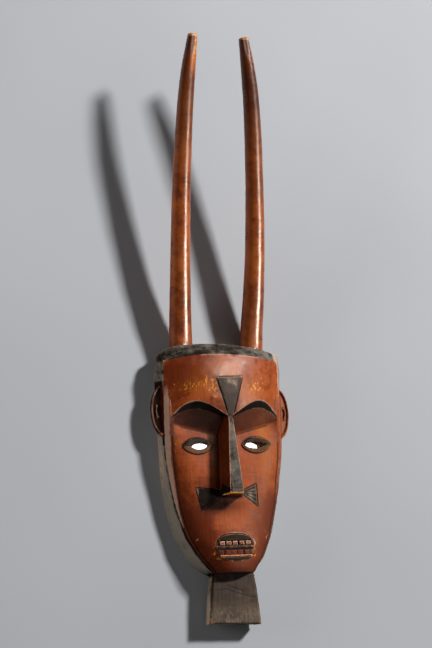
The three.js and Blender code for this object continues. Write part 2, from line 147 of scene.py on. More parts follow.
faceShape = {
    "halfWidth": [(112, 78.2), (104, 80.2), (6, 81.2), (-56, 74), (-82, 68.7), (-101.5, 63),
                  (-121, 56.7), (-134, 49.9), (-147, 42), (-158, 33.6), (-165, 28.6)],
    "edgeRise": [(112, 34.5), (60, 30.5), (6, 26.6), (-56, 22.7), (-101, 23), (-134, 25.5), (-165, 28.5)],
    "foreheadRise": [(118, 56.5), (100, 60), (84, 61.4), (60, 60.8), (33, 57)],
    "sunkRise": [(60, 27), (26, 31.5), (12, 35.5), (0, 38.4), (-30, 40.5), (-60, 42.5),
                 (-90, 44), (-134, 44.5), (-148, 44.5), (-158, 43.8), (-165, 41.5)],
    "foreheadPower": 2.2,  # a high power is flat across the middle and falls away near the edge
    "sunkPower": [(30, 8), (0, 7.4), (-30, 5.6), (-60, 3.8), (-134, 2.6), (-165, 2.2)],
    "topMiddle": 116.4, "topCentre": -25, "topFallLeft": 0.0018, "topFallRight": 0.0008,
    "bottom": -165,
    "driftFrom": -95, "driftOver": 70, "driftBy": 2.6,  # chin and tab sit a little to the right
    "waves": [(26, 0.34), (9, 0.14), (4.5, 0.05)],  # size and height of the knife's unevenness, mm
}
# the bevelled strip along the edge narrows round the jaw; the groove inside it is only cut on the left
lipShape = {"width": [(0, 6.6), (-30, 5.6), (-57, 4.6), (-83, 3.0), (-115, 2.0)], "bevel": 1.06,
            "round": 0.33, "rounding": 0.12, "groove": 1.6, "slope": 12.5, "depth": 0.7,
            "fadeFrom": -50, "fadeTo": -105, "foreheadFrom": 90, "foreheadOver": 40, "leftOver": 20}
browShape = {"root": 34, "arch": 22.2, "reach": 74.5, "skew": 1.35, "power": 0.8, "slope": 0.6,
             "ledge": 8.6, "ledgeDepth": 0.4, "creaseOuter": 29, "creaseInner": 12, "creaseStart": 10,
             "coveCurve": 1.15}
noseShape = {"root": 46, "ridgeRise": [(46, 56), (34, 57.5), (28, 60), (0, 62.4), (-30, 64.4), (-66, 67)],
             "ridgeHalf": [(34, 2.8), (28, 3), (0, 5.2), (-66, 9.4)],
             "baseHalf": [(34, 6), (20, 9.5), (0, 12), (-66, 15.2)], "tip": -66, "under": -68.5}


def drift(y):
    return faceShape["driftBy"] * falling(y, faceShape["driftFrom"], faceShape["driftOver"])


def inwardAt(x, y):
    # how far in from the edge of the front
    return along(faceShape["halfWidth"], y) - np.abs(x)


def topEdge(x):
    away = x - faceShape["topCentre"]
    fall = np.where(away < 0, faceShape["topFallLeft"], faceShape["topFallRight"])
    return faceShape["topMiddle"] - fall * away ** 2


def archAt(x):
    out = clamp01(np.abs(x) / browShape["reach"]) ** browShape["skew"]
    return clamp01(np.sin(math.pi * out)) ** browShape["power"]


def browEdge(x):
    return browShape["root"] + browShape["arch"] * archAt(x)


def ledgeEdge(x):
    return browEdge(x) - browShape["slope"] - browShape["ledge"] * archAt(x)


def creaseLine(x):
    out = clamp01((np.abs(x) - browShape["creaseStart"]) / (browShape["reach"] - browShape["creaseStart"]))
    line = lerp(browShape["creaseInner"], browShape["creaseOuter"], out)
    return np.minimum(line, ledgeEdge(x) - browShape["slope"])


def lipFade(y):
    return rising(y, lipShape["fadeTo"], lipShape["fadeFrom"] - lipShape["fadeTo"])


def onLeft(x):
    return falling(x, 0, lipShape["leftOver"])


def lipHeight(y, inward):
    width = along(lipShape["width"], y)
    rounding = lipShape["rounding"] * width * clamp01(1 - inward / (lipShape["round"] * width)) ** 2
    return along(faceShape["edgeRise"], y) + lipShape["bevel"] * np.clip(inward, 0, width) - rounding


def sunkHeight(x, y):
    inward = inwardAt(x, y)
    width, groove = along(lipShape["width"], y), lipShape["groove"]
    lip = lipHeight(y, width)
    low = lip - lipShape["depth"] * lipFade(y) * onLeft(x)
    u = np.abs(x) / np.maximum(np.abs(x) + inward - width - groove, 1e-6)
    middle = along(faceShape["sunkRise"], y)
    sunk = low + (middle - low) * (1 - clamp01(u) ** along(faceShape["sunkPower"], y))
    slope = lerp(lip, low, smooth((inward - width) / groove))
    return np.where(inward < width, lipHeight(y, inward), np.where(inward < width + groove, slope, sunk))


def foreheadHeight(x, y):
    half, edge = along(faceShape["halfWidth"], y), lipHeight(y, 0)
    roundness = 1 - clamp01(np.abs(x) / half) ** faceShape["foreheadPower"]
    bulge = lerp(edge, along(faceShape["foreheadRise"], y), roundness)
    low = falling(y, lipShape["foreheadFrom"], lipShape["foreheadOver"])
    return np.maximum(bulge, lerp(edge, lipHeight(y, half - np.abs(x)), low))


def carvedHeight(x, y):
    brow, ledge, crease = browEdge(x), ledgeEdge(x), creaseLine(x)
    top, bottom = foreheadHeight(x, brow), sunkHeight(x, crease)
    ledgeZ = lerp(top, bottom, browShape["ledgeDepth"])
    onLedge = lerp(ledgeZ, top, clamp01((y - ledge) / (brow - ledge)))
    cove = clamp01((y - crease) / np.maximum(ledge - crease, 1e-6)) ** browShape["coveCurve"]
    low = np.where(y >= ledge, onLedge, lerp(bottom, ledgeZ, cove))
    return np.where(y >= brow, foreheadHeight(x, y), np.where(y <= crease, sunkHeight(x, y), low))


def noseHeight(x, y, floor):
    ridge = along(noseShape["ridgeRise"], y)
    ridgeHalf, baseHalf = along(noseShape["ridgeHalf"], y), along(noseShape["baseHalf"], y)
    under = clamp01((y - noseShape["under"]) / (noseShape["tip"] - noseShape["under"]))
    side = clamp01((baseHalf - np.abs(x)) / (baseHalf - ridgeHalf))
    there = (y <= noseShape["root"]) & (y >= noseShape["under"])
    return np.where(there, floor + (ridge - floor) * side * under, 0)


def faceHeight(x, y):
    floor = carvedHeight(x, y)
    away = np.hypot(x / mouthShape["moundWidth"], (y - mouthShape["y"]) / mouthShape["moundHeight"])
    mound = mouthShape["mound"] * np.exp(-away ** mouthShape["moundPower"])
    return np.maximum(floor + mound, noseHeight(x, y, floor))


def handCut(x, y):
    # the unevenness that the knife left, the same wherever the face is asked for
    flat = np.column_stack([x, y, np.zeros(len(x))])
    return unevenness(flat, faceShape["waves"], 0)


def surfaceHeight(x, y):
    return faceHeight(x, y) + handCut(x, y)


# making and placing meshes

def deselectAll():
    if bpy.context.object and bpy.context.object.mode != "OBJECT":
        bpy.ops.object.mode_set(mode="OBJECT")
    bpy.ops.object.select_all(action="DESELECT")


def activate(obj):
    # makes one piece the only one that the next operators work on
    deselectAll()
    obj.select_set(True)
    bpy.context.view_layer.objects.active = obj


def editFrom(kind):
    # edit mode with nothing selected
    bpy.ops.object.mode_set(mode="EDIT")
    bpy.ops.mesh.select_mode(type=kind)
    bpy.ops.mesh.select_all(action="DESELECT")


def read(things, name, kind=np.float32, width=1):
    # one value, or a row of them, from every vertex, edge, face or attribute
    values = np.empty(len(things) * width, kind)
    things.foreach_get(name, values)
    return values.reshape(-1, width) if width > 1 else values


def rawPlaces(obj):
    return read(obj.data.vertices, "co", width=3).astype(float)


def getPlaces(obj):
    return rawPlaces(obj) / millimetre - (0, eyeLine, 0)


def setPlaces(obj, places, drifted=True):
    places = np.array(places, float)
    if drifted:
        places[:, 0] += drift(places[:, 1])
    metres = (places + (0, eyeLine, 0)) * millimetre
    obj.data.vertices.foreach_set("co", metres.astype(np.float32).ravel())
    obj.data.update()


def named(name, material):
    obj = bpy.context.object
    obj.name = name
    obj.data.materials.append(material)
    return obj


def sheetOf(name, material, columns, rows):
    # a flat sheet, and for every vertex its column from the left and its row from the top
    deselectAll()
    bpy.ops.mesh.primitive_grid_add(x_subdivisions=columns, y_subdivisions=rows, size=2)
    obj = named(name, material)
    raw = rawPlaces(obj)
    column = np.round((raw[:, 0] + 1) / 2 * columns).astype(int)
    row = np.round((1 - raw[:, 1]) / 2 * rows).astype(int)
    return obj, column, row


def rodOf(name, material, sides, rings):
    # a closed rod of rings, and for every vertex its angle and its ring from the bottom
    deselectAll()
    bpy.ops.mesh.primitive_cylinder_add(vertices=sides, depth=2, radius=1, end_fill_type="NGON")
    obj = named(name, material)
    editFrom("EDGE")
    bpy.ops.object.mode_set(mode="OBJECT")
    for edge in obj.data.edges:
        a, b = (obj.data.vertices[i].co.z for i in edge.vertices)
        edge.select = abs(a - b) > 1
    bpy.ops.object.mode_set(mode="EDIT")
    if rings > 1:
        bpy.ops.mesh.subdivide(number_cuts=rings - 1)
    bpy.ops.object.mode_set(mode="OBJECT")
    raw = rawPlaces(obj)
    angle = np.arctan2(raw[:, 1], raw[:, 0])
    ring = np.round((raw[:, 2] + 1) / 2 * rings).astype(int)
    return obj, angle, ring


def closeSheet(obj, levels):
    # carries the open edge of a sheet on through each level, then closes it with a flat face.
    # A level gives the new places of the vertices that began as those numbers of the sheet.
    start = obj.data.attributes.new("start", "INT", "POINT")
    start.data.foreach_set("value", np.arange(len(obj.data.vertices), dtype=np.int32))
    first = getPlaces(obj)
    activate(obj)
    for level in levels:
        editFrom("VERT")
        bpy.ops.mesh.select_non_manifold(extend=False, use_wire=False, use_boundary=True,
                                         use_multi_face=False, use_non_contiguous=False, use_verts=False)
        bpy.ops.mesh.extrude_region_move()
        bpy.ops.object.mode_set(mode="OBJECT")
        began = read(obj.data.attributes["start"].data, "value", np.int32)
        new = read(obj.data.vertices, "select", bool)
        places = getPlaces(obj)
        places[new] = level(first[began[new]], began[new])
        setPlaces(obj, places, drifted=False)
    bpy.ops.object.mode_set(mode="EDIT")
    bpy.ops.mesh.edge_face_add()
    bpy.ops.mesh.select_all(action="SELECT")
    bpy.ops.mesh.remove_doubles(threshold=1e-7)
    bpy.ops.object.mode_set(mode="OBJECT")
    obj.data.attributes.remove(obj.data.attributes["start"])
    return recalculate(obj)


def down(depth):
    return lambda places, began: places - (0, 0, depth)


def slab(name, material, columns, rows, top, levels):
    # a closed piece under a sheet: top gives its places from u, left to right, and v, top to bottom
    obj, column, row = sheetOf(name, material, columns, rows)
    setPlaces(obj, top(column / columns, row / rows))
    return closeSheet(obj, levels)


def recalculate(obj):
    # turns all faces outwards
    activate(obj)
    bpy.ops.object.mode_set(mode="EDIT")
    bpy.ops.mesh.select_all(action="SELECT")
    bpy.ops.mesh.normals_make_consistent(inside=False)
    bpy.ops.object.mode_set(mode="OBJECT")
    return obj


def carve(wood, tool, operation):
    # adds a piece to the wood or cuts it away, and keeps each piece's own finish
    activate(wood)
    cut = wood.modifiers.new("carve", "BOOLEAN")
    cut.object = tool
    cut.operation = operation
    cut.solver = "MANIFOLD"
    cut.material_mode = "TRANSFER"
    before = len(wood.data.polygons)
    bpy.ops.object.modifier_apply(modifier=cut.name)
    print(f"  {operation.lower()} {tool.name}: {before} -> {len(wood.data.polygons)} faces")
    bpy.data.objects.remove(tool)


def joined(tools):
    # tools that don't touch each other, as one
    deselectAll()
    for tool in tools:
        tool.select_set(True)
    bpy.context.view_layer.objects.active = tools[0]
    bpy.ops.object.join()
    return bpy.context.object


# materials

def linear(hexColour):
    # sRGB hex to the linear colour that a shader takes
    shares = [int(hexColour[i:i + 2], 16) / 255 for i in (1, 3, 5)]
    return [s / 12.92 if s <= 0.04045 else ((s + 0.055) / 1.055) ** 2.4 for s in shares] + [1]


def addNode(tree, kind, settings, sockets=(), out=0):
    # adds a node with its own settings; each of its sockets takes a value or another node's output
    node = tree.nodes.new("ShaderNode" + kind)
    for name, value in settings.items():
        setattr(node, name, value)
    for key, value in (sockets.items() if isinstance(sockets, dict) else enumerate(sockets)):
        if isinstance(value, bpy.types.NodeSocket):
            tree.links.new(value, node.inputs[key])
        else:
            node.inputs[key].default_value = value
    return node.outputs[out] if node.outputs else node


def emptyMaterial(name):
    material = bpy.data.materials.new(name)
    material.use_nodes = True
    material.node_tree.nodes.clear()
    return material, material.node_tree


# settings that many nodes share; a colour Mix takes its share at socket 0 and its colours at 6 and 7
times, plus, timesPlus = ({"operation": name} for name in ("MULTIPLY", "ADD", "MULTIPLY_ADD"))
soft = {"interpolation_type": "SMOOTHSTEP"}
blend, multiply = {"data_type": "RGBA"}, {"data_type": "RGBA", "blend_type": "MULTIPLY"}

woodPatterns = {
    # width of the patches in mm, detail, roughness, and how they are stretched along x, y and z
    "cloud": (30, 2, 0.5, (1, 1, 1)),  # where the stain went on thick or thin
    "hue": (52, 2, 0.5, (1, 0.7, 1)),  # redder and more orange coats
    "patch": (6, 6, 0.65, (1, 0.85, 1)),  # where hands have thinned it since
    "brush": (2.4, 4, 0.6, (0.3, 1, 1)),  # stain wiped on across the fibre
    "grain": (1.1, 3, 0.6, (1, 0.05, 1)),  # fibre, really 0.3 mm wide, drawn coarser to show
    "fleck": (1.3, 3, 0.6, (1, 0.5, 1)),  # chips of a millimetre or two
    "fine": (0.8, 2, 0.5, (1, 1, 1)),
}
woodMarks = ["edge", "crease", "paint", "tone", "warm", "deep", "pale", "rubbed", "scuff", "matte"]
# what every wood starts from; gloss is the roughness of its polished and of its plainer patches
plainLook = {
    "dark": "#6c2a10", "light": "#a34c20", "warmColour": "#b8611c", "deepColour": "#2a0a04",
    "paleColour": "#b5937e", "wornColour": "#b48468", "rawColour": "#d68a30", "dirtColour": "#180a05",
    "grain": 0.2, "dirt": 0.65, "dirtWidth": 2.4, "worn": 0.85, "wornWidth": 0.9, "gloss": (0.3, 0.46),
    "matte": 0.2, "deepMatte": 0.4, "fibreDepth": 0.06, "dentDepth": 0.4, "specular": 0.1}


def carvedWood(name, changes):
    # light wood, cut with adze and knife, stained or painted, and then rubbed by hands for years: satin
    # where it was touched, paler on every edge, darker in every corner, with a fibre that runs up the face
    look = {**plainLook, **changes}
    colours = {key: linear(value) for key, value in look.items() if isinstance(value, str)}
    material, tree = emptyMaterial(name)
    place = addNode(tree, "TexCoord", {}, (), "Object")
    noises = {}
    for key, (size, detail, roughness, stretch) in woodPatterns.items():
        moved = addNode(tree, "Mapping", {}, {"Vector": place, "Scale": stretch})
        noises[key] = addNode(tree, "TexNoise", {}, {"Vector": moved, "Scale": 0.5 / (size * millimetre),
                                                     "Detail": detail, "Roughness": roughness})
    marks = {key: addNode(tree, "Attribute", {"attribute_name": key}, (), "Fac") for key in woodMarks}

    # stain: thick and thin coats over the fibre; the tone mark also brings painted light and painted shade
    # into it
    depth = addNode(tree, "Math", timesPlus, (noises["patch"], 0.65, marks["tone"]))
    depth = addNode(tree, "Math", timesPlus, (noises["cloud"], 0.6, depth))
    depth = addNode(tree, "Math", timesPlus, (noises["brush"], 0.3, depth))
    thin = addNode(tree, "MapRange", soft, (depth, 0.59, 0.97))
    colour = addNode(tree, "Mix", blend, {0: thin, 6: colours["dark"], 7: colours["light"]}, 2)
    warm = addNode(tree, "Math", timesPlus, (noises["hue"], 0.8, marks["warm"]))
    warm = addNode(tree, "MapRange", soft, (warm, 0.4, 1.1))
    colour = addNode(tree, "Mix", blend, {0: warm, 6: colour, 7: colours["warmColour"]}, 2)
    fibre = addNode(tree, "MapRange", soft, (noises["grain"], 0.3, 0.7, 1 - look["grain"], 1.0))
    fibres = addNode(tree, "CombineColor", {}, (fibre, fibre, fibre))
    colour = addNode(tree, "Mix", multiply, {0: 1.0, 6: colour, 7: fibres}, 2)

    # thick, nearly black-red stain where hands never reached, and painted shade and painted shadows, all set
    # by the deep mark
    uneven = addNode(tree, "MapRange", soft, (noises["patch"], 0.3, 0.6, 0.75, 1.0))
    deep = addNode(tree, "Math", times, (marks["deep"], uneven))
    colour = addNode(tree, "Mix", blend, {0: deep, 6: colour, 7: colours["deepColour"]}, 2)

    # black paint over the stain, with a slightly uneven brushed border
    painted = 0.0
    if "paint" in look:
        border = addNode(tree, "Math", timesPlus, (noises["patch"], 1.6, marks["paint"]))
        painted = addNode(tree, "MapRange", soft, (border, 0.45, 1.15))
        low, high = (linear(tone) for tone in look["paint"])
        black = addNode(tree, "Mix", blend, {0: thin, 6: low, 7: high}, 2)
        black = addNode(tree, "Mix", multiply, {0: 0.8, 6: black, 7: fibres}, 2)
        colour = addNode(tree, "Mix", blend, {0: painted, 6: colour, 7: black}, 2)

    # surface worn to a pale bloom, and painted highlights, in mottled patches
    mottle = addNode(tree, "Math", timesPlus, (noises["fleck"], 0.6, marks["pale"]))
    mottle = addNode(tree, "Math", timesPlus, (noises["patch"], 0.5, mottle))
    mottle = addNode(tree, "MapRange", soft, (mottle, 0.9, 1.35, 0.0, 0.8))
    colour = addNode(tree, "Mix", blend, {0: mottle, 6: colour, 7: colours["paleColour"]}, 2)

    # dirt and thick stain in the corners
    corner = addNode(tree, "Math", plus, (marks["crease"], noises["patch"]))
    dirt = addNode(tree, "MapRange", soft, (corner, 0.7, look["dirtWidth"], look["dirt"], 0.0))
    colour = addNode(tree, "Mix", blend, {0: dirt, 6: colour, 7: colours["dirtColour"]}, 2)

    # edges rubbed back to paler wood, in broken lines
    chips = addNode(tree, "Math", times, (noises["patch"], 1.5))
    chips = addNode(tree, "Math", timesPlus, (noises["fine"], 0.9, chips))
    reach = addNode(tree, "MapRange", soft, (chips, 0.85, 1.5, 0.0, look["wornWidth"]))
    wide = addNode(tree, "Math", times, (marks["rubbed"], 2.4))
    reach = addNode(tree, "Math", timesPlus, (wide, chips, reach))
    away = addNode(tree, "Math", timesPlus, (reach, -1.0, marks["edge"]))
    worn = addNode(tree, "MapRange", soft, (away, -0.6, 0.15, look["worn"], 0.0))
    fresh = addNode(tree, "MapRange", soft, (marks["rubbed"], 0.2, 0.6))
    bare = addNode(tree, "Mix", blend, {0: fresh, 6: colours["wornColour"], 7: colours["rawColour"]}, 2)
    bare = addNode(tree, "Mix", multiply, {0: 0.7, 6: bare, 7: fibres}, 2)
    colour = addNode(tree, "Mix", blend, {0: worn, 6: colour, 7: bare}, 2)

    # chips knocked out of the stain down to yellow wood
    knocked = addNode(tree, "Math", timesPlus, (marks["scuff"], 0.3, noises["fleck"]))
    knocked = addNode(tree, "MapRange", soft, (knocked, 0.75, 0.84, 0.0, 0.85))
    colour = addNode(tree, "Mix", blend, {0: knocked, 6: colour, 7: colours["rawColour"]}, 2)

    # satin where it was handled, dull where it was painted, worn or dirty
    roughness = addNode(tree, "MapRange", soft, (noises["patch"], 0.35, 0.65, *look["gloss"]))
    duller = ((painted, 0.2), (worn, 0.15), (deep, look["deepMatte"]), (dirt, 0.2),
              (marks["matte"], look["matte"]))
    for share, much in duller:
        roughness = addNode(tree, "Math", timesPlus, (share, much, roughness))

    # relief of the fibre and of fine tool marks, in mm
    dents = addNode(tree, "Math", times, (noises["patch"], look["dentDepth"]))
    height = addNode(tree, "Math", timesPlus, (noises["grain"], look["fibreDepth"], dents))
    relief = addNode(tree, "Bump", {}, {"Strength": 1.0, "Distance": millimetre, "Height": height})
    shader = addNode(tree, "BsdfPrincipled", {}, {
        "IOR": 1.5, "Specular IOR Level": look["specular"], "Base Color": colour,
        "Roughness": roughness, "Normal": relief})
    addNode(tree, "OutputMaterial", {}, (shader,))
    return material


# stained with a red-brown bark dye, polished by handling, with brushed black marks: orange where it is
# thin, maroon where it is thick, and a satin gloss on what stands out
faceWood = carvedWood("redStainedWood", {"paint": ("#120b06", "#7d7468")})
# the same dye on round wood that is gripped most: the smoothest and glossiest part, darker to the ends
hornWood = carvedWood("rubbedHornWood", {
    "dark": "#6a2a0c", "light": "#a9551f", "gloss": (0.27, 0.36), "grain": 0.16, "deepMatte": 0.0,
    "dentDepth": 0.3, "deepColour": "#1d0602", "specular": 0.42, "paleColour": "#caa070", "worn": 0.5})
# soot paint on the raised eye rims, the lips and the bar between the teeth: brown-black and dull
blackWood = carvedWood("blackPaintedWood", {
    "dark": "#1c1209", "light": "#66432c", "warmColour": "#4a2f1a", "gloss": (0.45, 0.6),
    "wornColour": "#8a6548", "paleColour": "#8f7f5c", "specular": 0.1})
# dye that pooled in the ears' hollows: dark maroon, with rubbed pinkish rims
earWood = carvedWood("darkStainedEarWood", {
    "dark": "#3f1006", "light": "#96502e", "warmColour": "#8a4a20", "gloss": (0.4, 0.5),
    "worn": 0.6, "wornColour": "#a5806c", "specular": 0.08})
# only sooted and then held: dull grey-brown, with open fibre and raw corners
# its near-black deep colour is the colour of the chin's painted shadow on the tab
tabWood = carvedWood("greyBrownTabWood", {
    "dark": "#2e2219", "light": "#62503f", "warmColour": "#5a3f2a", "deepColour": "#020101",
    "gloss": (0.5, 0.62), "grain": 0.4, "wornColour": "#6e5743", "worn": 0.6, "specular": 0.12,
    "rawColour": "#a9713f", "fibreDepth": 0.12, "paleColour": "#988a79"})
# scraped clean and tinted: chalky pink teeth
toothWood = carvedWood("paleRedToothWood", {
    "dark": "#7a3a28", "light": "#b5735a", "warmColour": "#b57a52", "gloss": (0.45, 0.55),
    "wornColour": "#dcae92", "specular": 0.2})
# thick red dye in the mouth: deep blood red, satin
gumWood = carvedWood("deepRedGumWood", {
    "dark": "#420a06", "light": "#7a2015", "warmColour": "#6c1c10", "gloss": (0.4, 0.5),
    "wornColour": "#a05a3c", "worn": 0.25, "specular": 0.15})
# the hollow was left as the adze cut it: dry brown wood, darkened by a wearer's skin
hollowWood = carvedWood("bareHollowWood", {
    "dark": "#4f3420", "light": "#7e5a3a", "warmColour": "#80552f", "gloss": (0.62, 0.78), "grain": 0.35,
    "wornColour": "#a58158", "specular": 0.2})
print("materials made")


# body: the front, its side wall and the flat back rim

bodyShape = {
    "columns": [(0, 6), (1, 9), (2, 52), (3, 3), (4, 5), (5, 3), (6, 4)],
    "rows": [(0, 62), (1, 8), (2, 22), (3, 80), (4, 4), (5, 92)],
    "widest": [(120, 83.5), (110, 86.4), (95, 87.5), (8, 86.5), (-53, 81.7), (-79, 76.6), (-99, 72.3),
               (-118, 66.3), (-131, 60.2), (-144.5, 53.1), (-158, 40.6), (-167, 25)],
    "widestRise": [(110, 22), (80, 15), (8, 15), (-53, 6), (-90, 3), (-167, 2)],
    "leanIn": 0.07, "leanRise": 15, "jawFrom": -60, "jawOver": 60, "jawDrop": 2,
    "wallSteps": [0.05, 0.13, 0.26, 0.4, 0.55, 0.7, 0.84, 0.95, 1.0], "rimSteps": [0.12, 0.45, 0.8, 1.0],
    "wallWaves": 0.4, "wallWaveSize": (14, 14, 30), "wallWavesFull": 0.25, "rimWaves": (1, 0.6, 0),
    "crownTop": 132.6, "crownCentre": -25, "crownFallLeft": 0.0014, "crownFallRight": 0.0012,
    "crownRise": 42, "cornerX": 83, "cornerDrop": 19, "cornerPower": 4, "cornerStart": 60,
    "cornerRound": 6.5,  # the left corner was cut rounder
    "sideLength": 45,
}


def columnLines(y):
    half, width = along(faceShape["halfWidth"], y), along(lipShape["width"], y)
    inward = [lipShape["slope"], width + lipShape["groove"], width, lipShape["round"] * width, 0]
    return np.array([0 * y, along(noseShape["ridgeHalf"], y), along(noseShape["baseHalf"], y)]
                    + [half - away for away in inward])


def rowLines(x):
    level = [noseShape["tip"], noseShape["under"], faceShape["bottom"]]
    return np.array([topEdge(x), browEdge(x), ledgeEdge(x), creaseLine(x)] + [0 * x + y for y in level])


def crownLine(x):
    start, end = bodyShape["cornerStart"], bodyShape["cornerX"]
    corner = clamp01((np.abs(x) - start) / (end - start))
    away = x - bodyShape["crownCentre"]
    fall = np.where(away < 0, bodyShape["crownFallLeft"], bodyShape["crownFallRight"])
    return bodyShape["crownTop"] - fall * away ** 2 - bodyShape["cornerRound"] * corner ** 2 * (x < 0)


def widestBeside(front, where, cornerY):
    # where the side wall is widest beside places of the front edge; where says top, side or bottom
    x, y = front[:, 0], front[:, 1]
    cornerX, cornerDrop = bodyShape["cornerX"], bodyShape["cornerDrop"]
    topX = x * cornerX / faceShape["halfWidth"][0][1]
    drop = cornerDrop * np.abs(topX / cornerX) ** bodyShape["cornerPower"]
    top = np.column_stack([topX, crownLine(topX), bodyShape["crownRise"] - drop])
    lowY, lowHalf = bodyShape["widest"][-1]
    lowX = x / faceShape["halfWidth"][-1][1] * lowHalf
    bottom = np.column_stack([lowX, 0 * x + lowY, along(bodyShape["widestRise"], 0 * x + lowY)])
    corner = clamp01(1 - (cornerY - y) / bodyShape["sideLength"]) ** 2
    jaw = bodyShape["jawDrop"] * clamp01((bodyShape["jawFrom"] - y) / bodyShape["jawOver"])
    cornerTop = crownLine(np.sign(x) * cornerX)
    sideY = y + (cornerTop - cornerY) * corner - jaw
    half = lerp(along(bodyShape["widest"], sideY), cornerX, corner ** 3)
    rise = lerp(along(bodyShape["widestRise"], sideY), bodyShape["crownRise"] - cornerDrop, corner)
    side = np.column_stack([np.sign(x) * half, sideY, rise])
    return np.where((where == "top")[:, None], top, np.where((where == "bottom")[:, None], bottom, side))


def makeBody():
    right = steps(bodyShape["columns"])
    columns = np.concatenate([-right[:0:-1], right])
    rows = steps(bodyShape["rows"])
    body, column, row = sheetOf("carved_mask", faceWood, len(columns) - 1, len(rows) - 1)
    side, columnAt, rowAt = np.sign(columns)[column], np.abs(columns)[column], rows[row]
    x, y = np.zeros(len(column)), pick(rowLines(np.zeros(len(column))), rowAt)
    # columns bend with y and rows with x, so where they cross is found in a few turns
    for turn in range(8):
        x = side * pick(columnLines(y), columnAt)
        y = pick(rowLines(x), rowAt)
    front = np.column_stack([x, y, surfaceHeight(x, y)])
    setPlaces(body, front)
    last = len(rows) - 1
    where = np.where(row == 0, "top", np.where(row == last, "bottom", "side"))
    cornerLeft, cornerRight = (y[(row == 0) & (column == k)][0] for k in (0, len(columns) - 1))
    widest = widestBeside(front, where, np.where(x < 0, cornerLeft, cornerRight))
    lean = bodyShape["leanIn"] * clamp01(widest[:, 2] / bodyShape["leanRise"])
    rim = np.column_stack([widest[:, 0] * (1 - lean), widest[:, 1], 0 * x])
    shift = np.column_stack([drift(y), 0 * y, 0 * y])

    def swollen(new, out, much, began):
        # a wall cut by hand swells and shrinks a little
        swell = bodyShape["wallWaves"] * undulation(new, bodyShape["wallWaveSize"], 5) * much
        out = out / np.maximum(np.linalg.norm(out, axis=1)[:, None], 1e-6)
        return new + out * swell[:, None] + shift[began]

    def wallLevel(share):
        def level(places, began):
            out = widest[began] - front[began] * (1, 1, 0)
            much = min(1, share / bodyShape["wallWavesFull"])
            return swollen(lerp(front[began], widest[began], share), out, much, began)
        return level

    def rimLevel(share):
        def level(places, began):
            new = lerp(widest[began], rim[began], share)
            return swollen(new, new * bodyShape["rimWaves"], 1 - share, began)
        return level

    levels = [wallLevel(share) for share in bodyShape["wallSteps"]]
    return closeSheet(body, levels + [rimLevel(share) for share in bodyShape["rimSteps"]])


# hollow behind the face

hollowShape = {"wall": 22, "roof": 11.5, "top": 94, "bottom": -138, "vault": 2.8, "riseFrom": 30,
               "riseOver": 44, "endLength": 34, "endWidth": 0.72, "rows": 84, "columns": 50, "behind": -8,
               "gouges": 0.5, "gougeSize": (8, 16, 12), "gougeDepth": 0.6, "gougeFade": 6}


def makeHollow():
    rows, columns = hollowShape["rows"], hollowShape["columns"]
    tool, column, row = sheetOf("hollow", hollowWood, columns, rows)
    y = lerp(hollowShape["top"], hollowShape["bottom"], row / rows)
    toEnd = np.minimum(hollowShape["top"] - y, y - hollowShape["bottom"])
    end = clamp01(np.sqrt(toEnd / hollowShape["endLength"]))
    half = (along(bodyShape["widest"], y) - hollowShape["wall"]) * lerp(hollowShape["endWidth"], 1, end)
    sunk = along(faceShape["sunkRise"], np.minimum(y, hollowShape["riseFrom"]))
    rise = rising(y, hollowShape["riseFrom"], hollowShape["riseOver"])
    middle = lerp(sunk, along(faceShape["foreheadRise"], y), rise)
    u = 2 * column / columns - 1
    z = (middle - hollowShape["roof"]) * (1 - np.abs(u) ** hollowShape["vault"]) * end
    inside = np.column_stack([u * half, y, z])
    gouges = hollowShape["gouges"] * undulation(inside, hollowShape["gougeSize"], 11)
    inside[:, 2] -= (hollowShape["gougeDepth"] + gouges) * smooth(z / hollowShape["gougeFade"])
    setPlaces(tool, inside)

    def behind(places, began):
        return np.column_stack([places[:, :2], 0 * places[:, 2] + hollowShape["behind"]])

    return closeSheet(tool, [behind])


# eyes

eyeShape = {
    "x": 40.4, "y": -0.8, "halfLength": 20.6, "halfHeight": 11.1, "point": 1.55, "sides": 72,
    # rings of the raised rim: size of the ring, and its rise over the face
    "rings": [(1, -5), (1, 0.0), (0.985, 0.7), (0.955, 1.5), (0.91, 1.95), (0.84, 2.1), (0.72, 2.0),
              (0.55, 1.7), (0.2, 1.0)],
    # the hole through it: middle, half length, half height, and how far it climbs to the right
    "holes": {-1: (-35.6, 13.2, 4.3, 0.1), 1: (39, 14, 4.6, 0.0)},
    "through": (-10.0, 80.0),  # from behind the mask to in front of it
}


def almond(x, halfLength, halfHeight, climb, angle):
    rise = np.sign(np.sin(angle)) * np.abs(np.sin(angle)) ** eyeShape["point"]
    across = halfLength * np.cos(angle)
    return x + across, eyeShape["y"] + halfHeight * rise + climb * across


def makeEyeRim(side):
    sizes, rises = np.array(eyeShape["rings"]).T
    rim, angle, ring = rodOf("eyeRim", blackWood, eyeShape["sides"], len(sizes) - 1)
    halfLength, halfHeight = (sizes[ring] * eyeShape[name] for name in ("halfLength", "halfHeight"))
    x, y = almond(side * eyeShape["x"], halfLength, halfHeight, 0, angle)
    setPlaces(rim, np.column_stack([x, y, surfaceHeight(x, y) + rises[ring]]))
    return recalculate(rim)


def makeEyeHole(side):
    hole, angle, ring = rodOf("eyeHole", hollowWood, eyeShape["sides"], 1)
    x, y = almond(*eyeShape["holes"][side], angle)
    setPlaces(hole, np.column_stack([x, y, np.array(eyeShape["through"])[ring]]))
    return recalculate(hole)


# mouth: a shallow pocket that holds two lips, a bar and two rows of teeth

